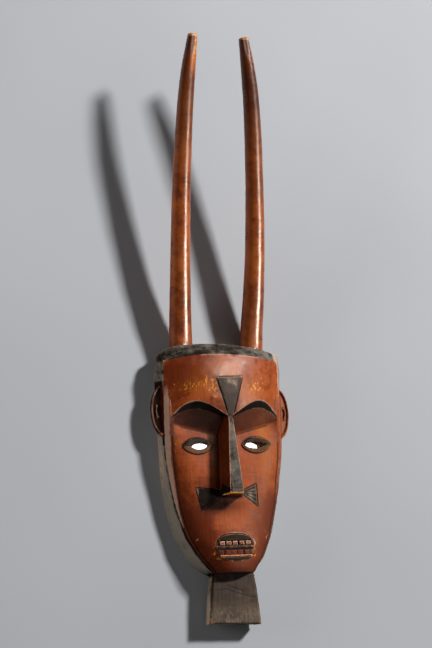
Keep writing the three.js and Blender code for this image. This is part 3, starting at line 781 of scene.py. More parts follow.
mouthShape = {
    "y": -132.8, "halfWidth": 27.5, "halfHeight": 17.4, "flatness": 0.7, "mound": 2.2,
    "moundWidth": 34, "moundHeight": 22.6, "moundPower": 3, "outlinePowers": (0.75, 0.85), "sides": 96,
    # rings of the pocket from its floor up: size, and rise over the face; its side leans out to the front
    "pocket": [(0.965, -2.8), (1.0, -1.0), (1.03, 0.4), (1.1, 20)],
    "root": 6.0,  # how deep the pads go down into the pocket's floor
    "softEdge": 1.6,  # width of a pad's softened edge, as a share of its rounding
    "upperLip": {"y": -124, "half": 22.6, "tall": 8.0, "rise": 0.9},
    "lowerLip": {"y": -145.4, "half": 20, "tall": 5, "rise": 0.6},
    # the lips stop a little short of their ends, so that they don't close to a point
    "lipShare": 0.995, "lipPower": 2.2, "lipFullness": 0.55, "lipEndSlope": 0.8,
    "bar": {"half": 26, "top": -131.3, "bottom": -134.4, "rise": 0.2},
    "upperTeeth": {"at": [-17.6, -9.1, -0.4, 8.7, 17.5], "width": 6.4, "top": -125.4, "bottom": -130.2,
                   "rise": -0.2},
    "lowerTeeth": {"at": [-20.8, -10.8, -2.9, 5.6, 15.0, 23.4], "width": 7.4, "top": -136.6, "bottom": -143.0,
                   "rise": -1.0},
    "toothGaps": [-15.7, -7, 1.3, 10, 19.6, 25.8], "gapWidth": 0.9,
    "sill": {"half": 21.5, "top": -143.2, "bottom": -144.9, "rise": 0.3},
}


def mouthHeight(x, y):
    return surfaceHeight(x * mouthShape["flatness"], y)


def makePocket():
    sizes, rises = np.array(mouthShape["pocket"]).T
    pocket, angle, ring = rodOf("mouthPocket", gumWood, mouthShape["sides"], len(sizes) - 1)
    c, s = np.cos(angle), np.sin(angle)
    widePower, tallPower = mouthShape["outlinePowers"]
    x = sizes[ring] * mouthShape["halfWidth"] * np.sign(c) * np.abs(c) ** widePower
    y = mouthShape["y"] + sizes[ring] * mouthShape["halfHeight"] * np.sign(s) * np.abs(s) ** tallPower
    setPlaces(pocket, np.column_stack([x, y, mouthHeight(x, y) + rises[ring]]))
    return recalculate(pocket)


def makePad(name, material, outline, rise, columns, rows, rounding):
    # a raised pad with softened edges that roots in the pocket's floor; outline gives x, y and the
    # distance in from the pad's edge
    def top(u, v):
        x, y, inward = outline(u, v)
        fromEdge = clamp01(1 - inward / (rounding * mouthShape["softEdge"]))
        soft = rounding * (1 - np.sqrt(clamp01(1 - fromEdge ** 2)))
        return np.column_stack([x, y, mouthHeight(x, y) + rise - soft])
    return slab(name, material, columns, rows, top, [down(mouthShape["root"])])


def blockOutline(x, width, top, bottom):
    def outline(u, v):
        px, py = x + width * (u - 0.5), lerp(top, bottom, v)
        inward = np.minimum(width * np.minimum(u, 1 - u), (top - bottom) * np.minimum(v, 1 - v))
        return px, py, inward
    return outline


def lipOutline(part, way):
    def outline(u, v):
        across = 2 * u - 1
        narrow = np.abs(across * mouthShape["lipShare"]) ** mouthShape["lipPower"]
        tall = part["tall"] * (1 - narrow) ** mouthShape["lipFullness"]
        share = 1 - v if way > 0 else v
        toEnd = part["half"] * (1 - np.abs(across)) * mouthShape["lipEndSlope"]
        inward = np.minimum(tall * np.minimum(v, 1 - v), toEnd)
        return part["half"] * across, part["y"] + way * tall * share, inward
    return outline


def mouthParts():
    upper, lower, bar, sill = (mouthShape[name] for name in ("upperLip", "lowerLip", "bar", "sill"))
    yield makePad("upperLip", blackWood, lipOutline(upper, 1), upper["rise"], 48, 12, 1.2)
    yield makePad("lowerLip", blackWood, lipOutline(lower, -1), lower["rise"], 44, 10, 1.0)
    for part, name, material in ((bar, "bar", blackWood), (sill, "sill", toothWood)):
        outline = blockOutline(0, 2 * part["half"], part["top"], part["bottom"])
        yield makePad(name, material, outline, part["rise"], 48, 5, 0.5)
    for rowName, material in (("upperTeeth", toothWood), ("lowerTeeth", gumWood)):
        part = mouthShape[rowName]
        teeth = [makePad("tooth", material, blockOutline(x, part["width"], part["top"], part["bottom"]),
                         part["rise"], 10, 8, 0.7) for x in part["at"]]
        yield joined(teeth)
    # between the lower teeth stands a thin web, part of the wood that they were cut from
    web = (mouthShape["gapWidth"], part["top"] + 0.2, part["bottom"] - 0.3)
    yield joined([makePad("gap", gumWood, blockOutline(x, *web), part["rise"] + 0.2, 3, 8, 0.3)
                  for x in mouthShape["toothGaps"]])


# knife-cut marks: outlines of the black triangles, and the lines inside them

foreheadMark = [(-16.7, 84.7), (17.9, 85.6), (4.6, 35.6), (-2.8, 35.2)]
leftMark = [(-45.4, -55.5), (-13, -58.5), (-13, -66), (-39.5, -85.3)]
rightMark = [(13, -62.5), (35.2, -52.4), (35.7, -79), (13, -66)]
markShape = {
    "outlines": [[(-18.4, 86.6), (-3.4, 38)], [(-15, 86.2), (18.6, 87)], [(19.4, 86), (5.2, 37.5)],
                 [(-46.4, -54.6), (-17, -58)], [(-46.6, -56), (-40, -87.4)], [(-38.4, -86), (-14, -68.6)],
                 [(17.5, -59.6), (36, -51.2)], [(36.7, -52.4), (37.2, -81.4)], [(36, -80.6), (16.4, -65.6)]],
    "hatches": [[(18, -61.6), (33.8, -56.6)], [(18, -62.4), (34.2, -61.4)], [(18, -63.2), (34.4, -66.8)],
                [(18, -64), (34.2, -72.4)], [(-43, -60), (-20, -61)], [(-42, -66), (-20, -63.4)],
                [(-41, -72), (-21, -66)], [(-40, -78), (-24, -69)]],
    "outlineCut": (1.3, 0.9), "hatchCut": (1.1, 0.18),  # width and depth
    "wedgeLift": 1.6, "ringEvery": 1.4, "endOver": 2.2, "endDepth": 0.12,
    "plateRise": 0.75, "plateWidth": (34.6, 7.4), "plateTall": 50, "plateRound": 1.6, "plateRoot": 3,
}


def makeScribe(start, end, width, depth):
    # a wedge under which the knife's line is left, shallower towards its ends
    (ax, ay), (bx, by) = start, end
    length = math.hypot(bx - ax, by - ay)
    rings = max(6, round(length / markShape["ringEvery"]))
    wedge, angle, ring = rodOf("scribe", blackWood, 3, rings)
    t = ring / rings
    corner = np.round(angle / (2 * math.pi / 3))  # 0 is the wedge's lower edge, 1 and -1 the upper two
    lift = markShape["wedgeLift"]
    fade = clamp01(np.minimum(t, 1 - t) * length / markShape["endOver"] + markShape["endDepth"])
    out = corner * width / 2 * (depth + lift) / depth
    x, y = lerp(ax, bx, t), lerp(ay, by, t)
    z = surfaceHeight(x, y) + np.where(corner == 0, -depth * fade, lift)
    setPlaces(wedge, np.column_stack([x - out * (by - ay) / length, y + out * (bx - ax) / length, z]))
    return recalculate(wedge)


def makePlate():
    # the black triangle of the forehead stands a little proud
    a, b, c, d = (np.array(corner, float) for corner in foreheadMark)

    def top(u, v):
        upper, lower = lerp(a, b, u[:, None]), lerp(d, c, u[:, None])
        x, y = lerp(upper, lower, v[:, None]).T
        width = lerp(*markShape["plateWidth"], v)
        inward = np.minimum(width * np.minimum(u, 1 - u), markShape["plateTall"] * v)
        proud = markShape["plateRise"] * (0.45 + 0.55 * smooth(inward / markShape["plateRound"]))
        return np.column_stack([x, y, surfaceHeight(x, y) + proud])
    return slab("foreheadPlate", faceWood, 26, 40, top, [down(markShape["plateRoot"])])


# ears: a half oval flange with a raised rim and a bowed ridge in its hollow

earShape = {"inner": 76.5, "reach": 18.8, "power": 2.5, "halfHeight": 33.5, "leftY": 47.5, "rightY": 41,
            "rim": 1.44, "rimOver": 2.4, "hollow": 2.8, "edgeDrop": 0.9, "edgeRound": 1.1, "thickness": 7.8,
            "rise": 28.2, "fall": 0.22, "columns": 34, "rows": 72, "turn": 0.985, "waves": [(7, 0.25)],
            "ridgeX": 87, "ridgeBow": 2.4, "ridgeTall": 9, "ridgeFade": 3, "ridgeRise": 2.9, "ridgeHalf": 1.2,
            # levels of its edge: share of the thickness, and share by which it is pulled in
            "edge": [(0.3, 0), (0.75, 0), (0.95, 0.02), (1.0, 0.05)]}


def makeEar(side):
    centre = earShape["leftY"] if side < 0 else earShape["rightY"]
    reach, tall = earShape["reach"], earShape["halfHeight"]

    def front(x):
        return earShape["rise"] - earShape["fall"] * (x - earShape["inner"])

    def top(u, v):
        s = 1 - 2 * v
        up = np.sin(s * math.pi / 2 * earShape["turn"])
        out = reach * (1 - np.abs(up) ** 2) ** (1 / earShape["power"])
        x, y = earShape["inner"] + out * u, up * tall
        radius = np.hypot(((x - earShape["inner"]) / reach) ** (earShape["power"] / 2), y / tall)
        inward = (1 - radius) * lerp(reach, tall, clamp01(np.abs(up)) ** 3)
        sunk = rising(inward, earShape["rim"], earShape["rimOver"])
        edgeDrop = earShape["edgeDrop"] * clamp01(1 - inward / earShape["edgeRound"]) ** 2
        z = front(x) - earShape["hollow"] * sunk - edgeDrop
        bow = earShape["ridgeX"] + earShape["ridgeBow"] * (1 - (y / earShape["ridgeTall"]) ** 2)
        ends = falling(np.abs(y), earShape["ridgeTall"], earShape["ridgeFade"])
        z += earShape["ridgeRise"] * ends * near(x, bow, earShape["ridgeHalf"])
        z += unevenness(np.column_stack([x, y, z]), earShape["waves"], 21)
        return np.column_stack([side * x, centre + side * y, z])

    def edge(share, inset):
        def level(places, began):
            x = np.abs(places[:, 0])
            low = front(x) - earShape["thickness"] * share
            pulled = earShape["inner"] + (x - earShape["inner"]) * (1 - inset)
            y = centre + (places[:, 1] - centre) * (1 - inset)
            return np.column_stack([side * pulled, y, low])
        return level

    return slab("ear", earWood, earShape["columns"], earShape["rows"], top,
                [edge(*level) for level in earShape["edge"]])


# horns: round, tapering, bowed outwards and leaning forwards, cut off blunt

hornShape = {
    # the middle line of the right horn as (y, x), (y, z) and its thickness at y
    "x": [(112, 48.6), (146, 49.4), (192, 51), (254, 52.1), (315, 51.5), (377, 49.6), (439, 46.4),
          (485, 42), (532, 35.3)],
    "z": [(112, 19), (146, 23), (192, 34.2), (254, 48), (315, 60), (377, 72), (439, 83.8), (485, 91.5),
          (532, 99)],
    "thickness": [(112, 30.5), (146, 29.9), (192, 28.2), (254, 26.2), (315, 24.8), (377, 23.2), (439, 21.4),
                  (485, 19), (532, 12.8)],
    "foot": 112, "end": 532, "leftExtra": 2, "sides": 40, "rings": 126, "ringPower": 1.35,
    "waves": [(34, 0.4), (10, 0.22), (5, 0.06)], "waveStretch": 2.2, "waveRadius": 12, "waveFade": 4,
    # rounding of the blunt end: distance from the end and share of the thickness
    "tip": [(0, 0.74), (0.35, 0.86), (1.0, 0.95), (2.2, 1.0), (500, 1.0)],
    "grooveLength": 26, "grooveDepth": 1.1, "grooveHalf": 2.6, "grooveFade": 9, "grooveTurn": 0.1,
}


def makeHorn(side):
    horn, angle, ring = rodOf("horn", hornWood, hornShape["sides"], hornShape["rings"])
    t = ring / hornShape["rings"]
    foot, end = hornShape["foot"], hornShape["end"]
    top = end + (hornShape["leftExtra"] if side < 0 else 0)
    # rings close up towards the end
    y = foot + (top - foot) * (1 - (1 - t) ** hornShape["ringPower"])
    line = foot + (y - foot) * (end - foot) / (top - foot)
    toEnd = top - y

    def centre(at):
        return np.column_stack([side * along(hornShape["x"], at), at, along(hornShape["z"], at)])

    inside = np.minimum(line, end - 1)
    heading = centre(inside + 1) - centre(inside - 1)
    heading /= np.linalg.norm(heading, axis=1)[:, None]
    across = np.cross(heading, (0, 0, 1))
    across /= np.linalg.norm(across, axis=1)[:, None]
    out = np.cross(across, heading)
    middle = centre(line)
    middle[:, 1] = y
    radius = along(hornShape["thickness"], line) / 2 * along(hornShape["tip"], toEnd)
    around = across * np.cos(angle)[:, None] + out * np.sin(angle)[:, None]
    layers = [((size, size * hornShape["waveStretch"], size), height) for size, height in hornShape["waves"]]
    waves = unevenness(middle + around * hornShape["waveRadius"], layers, 30 + side)
    # a groove was burnt into the front of the tip
    turn = np.angle(np.exp(1j * (angle - math.pi / 2 - hornShape["grooveTurn"] * side)))
    groove = bump(turn * radius / hornShape["grooveHalf"])
    groove *= falling(toEnd, hornShape["grooveLength"], hornShape["grooveFade"])
    radius = radius + waves * smooth(toEnd / hornShape["waveFade"]) - hornShape["grooveDepth"] * groove
    setPlaces(horn, middle + around * radius[:, None])
    return recalculate(horn)


# tab below the chin, by which the mask is held

tabShape = {"top": -150, "bottom": -230.8, "halfWidth": [(-150, 24), (-171, 29.1), (-230.8, 35.7)],
            "front": [(-150, 28.6), (-171, 28.3), (-230.8, 25.5)],
            "back": [(-150, 9.5), (-171, 9.5), (-230.8, 6.5)],
            "skew": 1.4, "columns": 60, "rows": 72, "bevel": 1.5, "bevelWidth": 2.2,
            "waves": [((16, 9, 10), 0.35), ((5, 12, 5), 0.12)], "edgeWaves": [(9, 0.2)],
            # levels of its edge: share of the thickness, and how far it is pulled in, mm
            "edge": [(0.12, -0.3), (0.5, 0.0), (0.92, 0.2), (1.0, 1.4)], "edgeHalf": 35, "edgeLow": 1.5,
            "cutDepth": 0.3, "cutHalf": 1.1,
            # marks of the tool that ran across it, and the lower border of the chin's painted shadow on the
            # tab
            "cuts": [[(-33, -187), (-11, -185.4), (7, -192.5), (30, -198.6)], [(-10, -181.5), (11, -188.8)]],
            "chinShadowBorder": [(-36, -178), (-13, -178), (0, -176.5), (17, -170), (26, -166), (36, -163)]}


def toolCuts(x, y):
    return sum(bump(lineDistance(cut, x, y) / tabShape["cutHalf"]) for cut in tabShape["cuts"])


def makeTab():
    def top(u, v):
        y = lerp(tabShape["top"], tabShape["bottom"], v)
        half = along(tabShape["halfWidth"], y)
        s = 2 * u - 1
        x = half * s
        y = y - tabShape["skew"] * s
        inward = np.minimum(half * (1 - np.abs(s)), (1 - v) * (tabShape["top"] - tabShape["bottom"]))
        bevel = tabShape["bevel"] * clamp01(1 - inward / tabShape["bevelWidth"]) ** 2
        z = along(tabShape["front"], y) - bevel - tabShape["cutDepth"] * toolCuts(x, y)
        return np.column_stack([x, y, z + unevenness(np.column_stack([x, y, z]), tabShape["waves"], 41)])

    def edge(share, inset):
        def level(places, began):
            low = along(tabShape["back"], places[:, 1])
            z = lerp(places[:, 2], low, share)
            x = places[:, 0] * (1 - inset / tabShape["edgeHalf"])
            y = np.maximum(places[:, 1], tabShape["bottom"] - tabShape["edgeLow"] + inset)
            new = np.column_stack([x, y, z])
            return new + unevenness(new, tabShape["edgeWaves"], 43)[:, None] * (1, 1, 0)
        return level

    return slab("tab", tabWood, tabShape["columns"], tabShape["rows"], top,
                [edge(*level) for level in tabShape["edge"]])


# putting it together

def scribed(lines, cut):
    return joined([makeScribe(start, end, *cut) for start, end in lines])


mask = makeBody()
print("body", len(mask.data.polygons))
for side in (-1, 1):
    carve(mask, makeHorn(side), "UNION")
    carve(mask, makeEar(side), "UNION")
    carve(mask, makeEyeRim(side), "UNION")
carve(mask, makeTab(), "UNION")
carve(mask, makePlate(), "UNION")
carve(mask, makePocket(), "DIFFERENCE")
for part in mouthParts():
    carve(mask, part, "UNION")
# one side of each triangle at a time, because sides that cross can't be one tool
for first in range(3):
    carve(mask, scribed(markShape["outlines"][first::3], markShape["outlineCut"]), "DIFFERENCE")
carve(mask, scribed(markShape["hatches"], markShape["hatchCut"]), "DIFFERENCE")
carve(mask, makeHollow(), "DIFFERENCE")
for side in (-1, 1):
    carve(mask, makeEyeHole(side), "DIFFERENCE")
print("carved", len(mask.data.polygons))


# what the finish needs to know at every vertex

markingShape = {
    "sharp": 24, "sliver": 2e-8, "farthest": 8.0,  # degrees, face area in m2, mm
    # the side wall beside each ear is left stained: half height, fade, lowest z and nearest x
    "earHalf": 31, "earFade": 4, "earFrom": 12, "earOutside": 80.5, "earPaint": 14,
    # how far black paint goes over or stays short of the edges that bound it, mm
    "unpainted": -9, "paintReach": 8, "wallPaint": 0.8, "chinPaint": 1.4, "cheekOver": 4,
    "archFrom": 0.05, "browOver": 0.2, "browUnder": 0.4, "ridgeTop": 45, "ridgeEnd": 0.3,
    # the left mark's upper border on the side of the nose: a point and the slope
    "noseMark": (-11.4, -54.5), "noseSlope": -5.0 / 2.2, "noseMarkReach": 3,
}


def edgeAngles(obj):
    # signed angle at every edge, positive where it stands proud, and the edge's two ends
    mesh = obj.data
    normals, centres = (read(mesh.polygons, name, width=3).astype(float) for name in ("normal", "center"))
    areas = read(mesh.polygons, "area")
    loopFace = np.repeat(np.arange(len(mesh.polygons)), read(mesh.polygons, "loop_total", np.int32))
    # each edge has two loops, one in each face beside it
    order = np.argsort(read(mesh.loops, "edge_index", np.int32), kind="stable")
    first, second = loopFace[order][0::2], loopFace[order][1::2]
    turn = np.arccos(np.clip((normals[first] * normals[second]).sum(1), -1, 1))
    proud = ((centres[second] - centres[first]) * normals[first]).sum(1) < 0
    whole = (areas[first] > markingShape["sliver"]) & (areas[second] > markingShape["sliver"])
    return np.degrees(np.where(proud, turn, -turn)) * whole, read(mesh.edges, "vertices", np.int32, 2)


def distanceTo(places, marks, most):
    # distance in mm from every place to the nearest mark, up to a limit
    tree = kdtree.KDTree(len(marks))
    for i, mark in enumerate(marks):
        tree.insert(mark, i)
    tree.balance()
    return np.array([min(most, tree.find(place)[2]) for place in places])


def storeAttribute(obj, name, values):
    layer = obj.data.attributes.new(name, "FLOAT", "POINT")
    layer.data.foreach_set("value", values.astype(np.float32))


def undriftedPlaces(obj):
    # places on the face as it was drawn, before chin and tab were shifted to the right
    places = getPlaces(obj)
    return (places - (1, 0, 0) * drift(places[:, 1])[:, None]).T


def markEdges(x, y):
    # marks how far every vertex is from an edge and from a corner, and gives the vertices on them
    angles, ends = edgeAngles(mask)
    places = getPlaces(mask)
    # knife-cut marks, the strip's inner edge, the chin and the jaw keep their stain
    inward = inwardAt(x, y)
    marks = [0.6 * (outlineDistance(mark, x, y) > -4) * (y < 84)
             for mark in (foreheadMark, leftMark, rightMark)]
    strip = 2 * near(inward, along(lipShape["width"], y), 2.5) * (y < 104) * (y > -164)
    chinAndJaw = 2 * falling(y, -150, 8) * (y > -172) + 2 * falling(y, -90, 20) * (inward < 12)
    kept = np.maximum.reduce([*marks, strip, chinAndJaw])
    sharp = {"edge": angles > markingShape["sharp"], "crease": angles < -markingShape["sharp"]}
    for name, chosen in sharp.items():
        a, b = places[ends[chosen, 0]], places[ends[chosen, 1]]
        away = distanceTo(places, np.concatenate([a, (a + b) / 2, b]), markingShape["farthest"])
        storeAttribute(mask, name, away + kept * (name == "edge"))
    return np.unique(ends[np.abs(angles) > markingShape["sharp"]])


def besideEar(x, y, z):
    # the stained part of the side wall that the ear's hollow runs into
    centre = np.where(x < 0, earShape["leftY"], earShape["rightY"])
    fade = markingShape["earFade"]
    stained = falling(np.abs(y - centre), markingShape["earHalf"], fade)
    return stained * rising(z, markingShape["earFrom"], fade) * (np.abs(x) > markingShape["earOutside"])


def pastEdge(away, drop):
    # distance past an edge of the front, measured on down the wall beyond it
    return np.where(away > 0, np.hypot(away, np.maximum(drop, 0)), away)


def markPaint(x, y, z):
    # distance in mm inside the nearest border of black paint, negative where there is none
    edgeZ, unpainted = along(faceShape["edgeRise"], y), markingShape["unpainted"]
    ridgeHalf = along(noseShape["ridgeHalf"], y)
    wall = pastEdge(-inwardAt(x, y), edgeZ - z) + markingShape["wallPaint"]
    wall -= markingShape["earPaint"] * besideEar(x, y, z)
    chin = pastEdge(faceShape["bottom"] - y, edgeZ - z) - markingShape["chinPaint"]
    crown = y - topEdge(x)
    onArch = (z > edgeZ - 3) & (inwardAt(x, y) > 0) & (archAt(x) > markingShape["archFrom"])
    brow = np.minimum(browEdge(x) - y - markingShape["browOver"],
                      y - ledgeEdge(x) + markingShape["browUnder"])
    ridge = np.minimum(ridgeHalf - np.abs(x), y - noseShape["tip"] - markingShape["ridgeEnd"])
    ridge = np.minimum(ridge, markingShape["ridgeTop"] - y)
    onCheek = z < carvedHeight(x, y) + markingShape["cheekOver"]
    marks = [np.where(onCheek, outlineDistance(mark, x, y), unpainted) for mark in (leftMark, rightMark)]
    # the left mark goes on over the side of the nose
    (startX, startY), reach = markingShape["noseMark"], markingShape["noseMarkReach"]
    inMark = np.minimum(startY + (x - startX) * markingShape["noseSlope"] - y, reach)
    onNose = np.where(~onCheek & (x < -0.9 * ridgeHalf), inMark, unpainted)
    paint = np.maximum.reduce([wall, chin, crown, np.where(onArch, brow, unpainted), ridge, onNose,
                               outlineDistance(foreheadMark, x, y), *marks])
    storeAttribute(mask, "paint", np.clip(paint, -markingShape["paintReach"], markingShape["paintReach"]))


stainAndPaintedLightShape = {
    # soft patches on the face: x, y, half width, half height and strength; more is lighter, mostly from less
    # stain, but the tone patch at (-36, 62) is a painted highlight above the left brow
    "tone": [(-56, 96, 24, 17, -0.28), (-62, 70, 14, 22, -0.2), (0, 104, 30, 12, 0.1), (42, 64, 26, 16, 0.06),
             (-30, 78, 24, 12, 0.06), (-38, -30, 20, 40, 0.12), (34, -38, 26, 34, -0.03),
             (-44, -110, 20, 30, -0.42), (50, -106, 20, 38, -0.46), (0, -98, 26, 14, 0.16),
             (0, -160, 60, 12, -0.3), (46, 8, 26, 14, -0.12), (0, 60, 14, 26, -0.15), (-36, 62, 20, 7, 0.22),
             (30, 64, 16, 8, 0.12), (-2, -100, 16, 9, 0.32)],
    # more is more orange
    "warm": [(54, -20, 14, 44, 0.25), (-30, 96, 26, 14, 0.25), (52, 20, 14, 20, 0.3), (36, -96, 18, 22, 0.08),
             (-38, 74, 34, 13, 0.35), (34, 66, 24, 16, 0.15)],
    # deep: painted shade on the chin's lower edge, and the nose's painted shadow to its lower left
    "deep": [(0, -167, 62, 7, 0.6), (-14, -79, 26, 10, 0.85)],
    # pale: (3, 92), (2, 80) and (9, 72) paint the forehead's highlight, (27, -66) a highlight on the right
    # mark and (-36, 60) one above the left brow; (-29, -134) is wear
    "pale": [(3, 92, 17, 9, 0.3), (2, 80, 13, 6, 0.5), (9, 72, 7, 7, 0.35), (27, -66, 7, 8, 0.7),
             (-29, -134, 3, 9, 0.35), (-36, 60, 18, 5, 0.12)],
    "scuff": [(-56, 76, 17, 9, 0.8), (-30, 79, 12, 9, 0.8), (-20, 73, 6, 13, 0.9), (32, 72, 16, 9, 0.7),
              (46, 77, 9, 9, 0.7), (-30, 62, 44, 7, 0.35), (24, 90, 46, 12, 0.3), (-69, 2, 3, 26, 0.6),
              (48, -118, 10, 10, 0.6), (-46, -122, 8, 5, 0.6), (0, -40, 60, 60, 0.12),
              (-27, -139, 3, 9, 0.75), (-22, -125, 3, 3, 0.9), (-22, -147, 4, 3, 0.8), (8, -149, 24, 3, 0.4)],
    "mostScuffed": 0.74,
}


def patches(name, x, y):
    return sum(strength * spot(x, y, *place) for *place, strength in stainAndPaintedLightShape[name])


def regionsOf(x, y, z):
    # parts of the mask that take stain, wear, painted light and painted shade in their own way, 0 to 1 at
    # every vertex;
    # a change along a line is written as its start and its length
    edgeZ, inward, fromTop = along(faceShape["edgeRise"], y), inwardAt(x, y), y - topEdge(x)
    face = (z > edgeZ - 1.5) & (inward > -1) & (fromTop < 1) & (y > -166)
    horn, belowChin = y > 128, y < -168
    across = x - np.sign(x) * along(hornShape["x"], y)  # from the horn's middle line
    hornFront = (z > along(hornShape["z"], y)) * horn
    mouthRadius = np.hypot(x / mouthShape["halfWidth"], (y - mouthShape["y"]) / mouthShape["halfHeight"])
    mouthRim = near(mouthRadius, 1.05, 0.08) * face
    underChin = (y < -150) & (z < 29.5) & (np.abs(x - 2) < 31)
    wall = falling(inward, -0.5, 2) * (z < edgeZ) * ~horn * (y > -168)
    return {
        "left": onLeft(x), "face": face, "horn": horn, "belowChin": belowChin, "tab": belowChin & (z > 4),
        "inward": inward, "fromTop": fromTop, "fromStrip": inward - along(lipShape["width"], y),
        "ridgeHalf": along(noseShape["ridgeHalf"], y), "baseHalf": along(noseShape["baseHalf"], y),
        # beside the dark groove of the horns' tips the stain has gone
        "tipGroove": hornFront * near(across, -0.4, 2.4) * rising(y, 498, 14) * (y < 531),
        "tipWear": hornFront * near(across, 3.6, 3.0) * rising(y, 472, 34) * lerp(1.0, 0.8, x > 0),
        "tipBare": hornFront * rising(y, 468, 34) * rising(across, -2.5, 2) * lerp(1, 0.15, x > 0),
        "nick": hornFront * spot(across, y, -0.5, 371, 2, 2.4) * (x > 0),
        "mouth": mouthRadius < 1,
        # wear and a painted highlight on the mouth's upper right rim
        "mouthRimWearAndHighlight": mouthRim * rising(x, -12, 12) * rising(y, mouthShape["y"] - 2, 6),
        # the chin's painted shadow on the tab
        "chinShade": underChin * rising(y, along(tabShape["chinShadowBorder"], x), 2.5),
        # painted shade on the wall beside the left ear
        "earSide": besideEar(x, y, z) * (x < 0),
        # painted light on the left side wall
        "wall": wall, "wallLeft": 0.8 * wall * (x < 0) * near(y, -20, 60),
        "tabLeft": belowChin * falling(z - along(tabShape["front"], y), -1.2, 1.5) * (x < 0)}


def markRubbed(x, y, z, at):
    # edges rubbed to bare wood, where hands and knocks get at them
    rubbed = [
        rising(y, 523, 10),  # ends of the horns
        spot(x, y, 0, -67.2, 17, 4) * (z > 50),  # end of the nose
        falling(y, -222, 10) * rising(np.abs(x), 24, 10),  # lower corners of the tab
        0.1 * falling(y, -178, 30) * near(x, -34, 3),  # its left edge
        0.8 * spot(x, y, 25, -141, 4, 8) * (z > 30),  # right corner of the mouth
        0.5 * spot(x, y, -84, 38, 6, 5),  # ridge of the left ear
        0.2 * near(y, browEdge(x), 3) * at["face"],  # brows
        0.16 * (np.abs(x) < at["ridgeHalf"] + 1.5) * (z > 52) * (y < 42) * at["face"],  # ridge of the nose
        0.14 * bump(at["fromTop"] / 3) * ~at["horn"],  # crown
        0.18 * at["mouthRimWearAndHighlight"]]
    storeAttribute(mask, "rubbed", np.maximum.reduce(rubbed))


def markScuffs(x, y, z, at):
    # chips knocked out of the stain, on the face, the tab, the horns' tips and the sill under the teeth
    leftEdge = near(x, -33, 3.5) * falling(y, -185, 25)
    corners = falling(y, -216, 12) * rising(np.abs(x), 18, 16)
    face = np.minimum(patches("scuff", x, y), stainAndPaintedLightShape["mostScuffed"]) * at["face"]
    sill = at["mouth"] * (np.abs(y + 144.2) < 1.3)
    storeAttribute(mask, "scuff", face + at["tab"] * (0.5 * leftEdge + 0.55 * corners)
                   + at["tipWear"] + at["nick"] + 0.9 * sill)


def markDeep(x, y, z, at):
    # darker where the deep mark is set: thick stain, and painted shade and painted shadows where light
    # doesn't fall
    left, fromStrip, baseHalf = at["left"], at["fromStrip"], at["baseHalf"]
    # painted shade in the coves under the brows, stronger on the left
    cove = rising(ledgeEdge(x) - y, -1, 3) * rising(y - creaseLine(x), -1, 5)
    cove = cove * (np.abs(x) < browShape["reach"])
    paintedNoseSideShade = (x < 0.4 - at["ridgeHalf"]) * rising(x + baseHalf, -9, 7)
    # stain and painted shade in the groove inside the strip and along the jaw, stronger on the left
    groove = rising(fromStrip, -0.6, 1.4) * falling(fromStrip, 8, 7) * falling(y, 46, 12)
    jaw = falling(at["inward"], 26, 20) * falling(y, -30, 50)
    onFace = [patches("deep", x, y), lerp(0.92, 0.74, rising(x, -10, 20)) * cove,
              lerp(0.12, 0.9, left) * groove, lerp(0.25, 0.5, left) * jaw]
    deep = [
        at["face"] * np.maximum.reduce(onFace),
        # painted shade on the nose's left side and the nose's painted shadow beside it
        0.85 * paintedNoseSideShade * falling(y, 44, 8) * rising(y, -72, 5),
        # painted shade under the nose
        0.6 * near(y, -69.5, 3) * falling(np.abs(x) - baseHalf, 1, 3),  # under the nose
        (1 - 0.8 * at["tipBare"]) * (0.66 * rising(y, 300, 170) + 0.12 * (x > 0)) * at["horn"],
        0.35 * toolCuts(x, y) * at["belowChin"],
        # the chin's painted shadow on the tab, the dark groove of the horns' tips, and painted shade beside
        # the left ear
        at["chinShade"], at["tipGroove"], at["earSide"]]
    storeAttribute(mask, "deep", clamp01(np.maximum.reduce(deep)))


def markPale(x, y, z, at):
    # the strip outside the groove is worn to a pinkish bloom, brighter on the left with painted light; the
    # black side wall is painted paler grey on the left, painted light
    strip = rising(at["inward"], -0.3, 1.2) * falling(at["fromStrip"], 0.9, 1.8)
    strip = strip * falling(y, 104, 50) * rising(y, -140, 60) * lerp(0.4, 0.8, at["left"])
    # wear and a painted highlight on the nose ridge's right edge; painted highlights on the forehead's right
    # edge and the crown's right corner
    noseEdgeWearAndHighlight = near(x - at["ridgeHalf"], 0.5, 1.3) * (y < 30) * (z > 50)
    paintedForeheadEdgeHighlight = near(at["inward"], 0.6, 3) * (x > 0) * rising(y, 58, 30) * (z > 24)
    paintedCrownCornerHighlight = spot(x, y, 79, 115, 8, 9)
    tab = 0.12 * falling(y, -184, 10) + 0.3 * falling(y, -196, 24)
    # the mouth's upper right rim is wear with a painted highlight; the tab's left side is paler
    storeAttribute(mask, "pale", (
        at["face"] * (patches("pale", x, y) + strip + 0.6 * noseEdgeWearAndHighlight)
        + ~at["horn"] * (0.75 * paintedForeheadEdgeHighlight + 0.6 * paintedCrownCornerHighlight) + at["tab"] * tab
        + 0.7 * at["wallLeft"] + 0.5 * at["tabLeft"] + 0.8 * at["mouthRimWearAndHighlight"]))


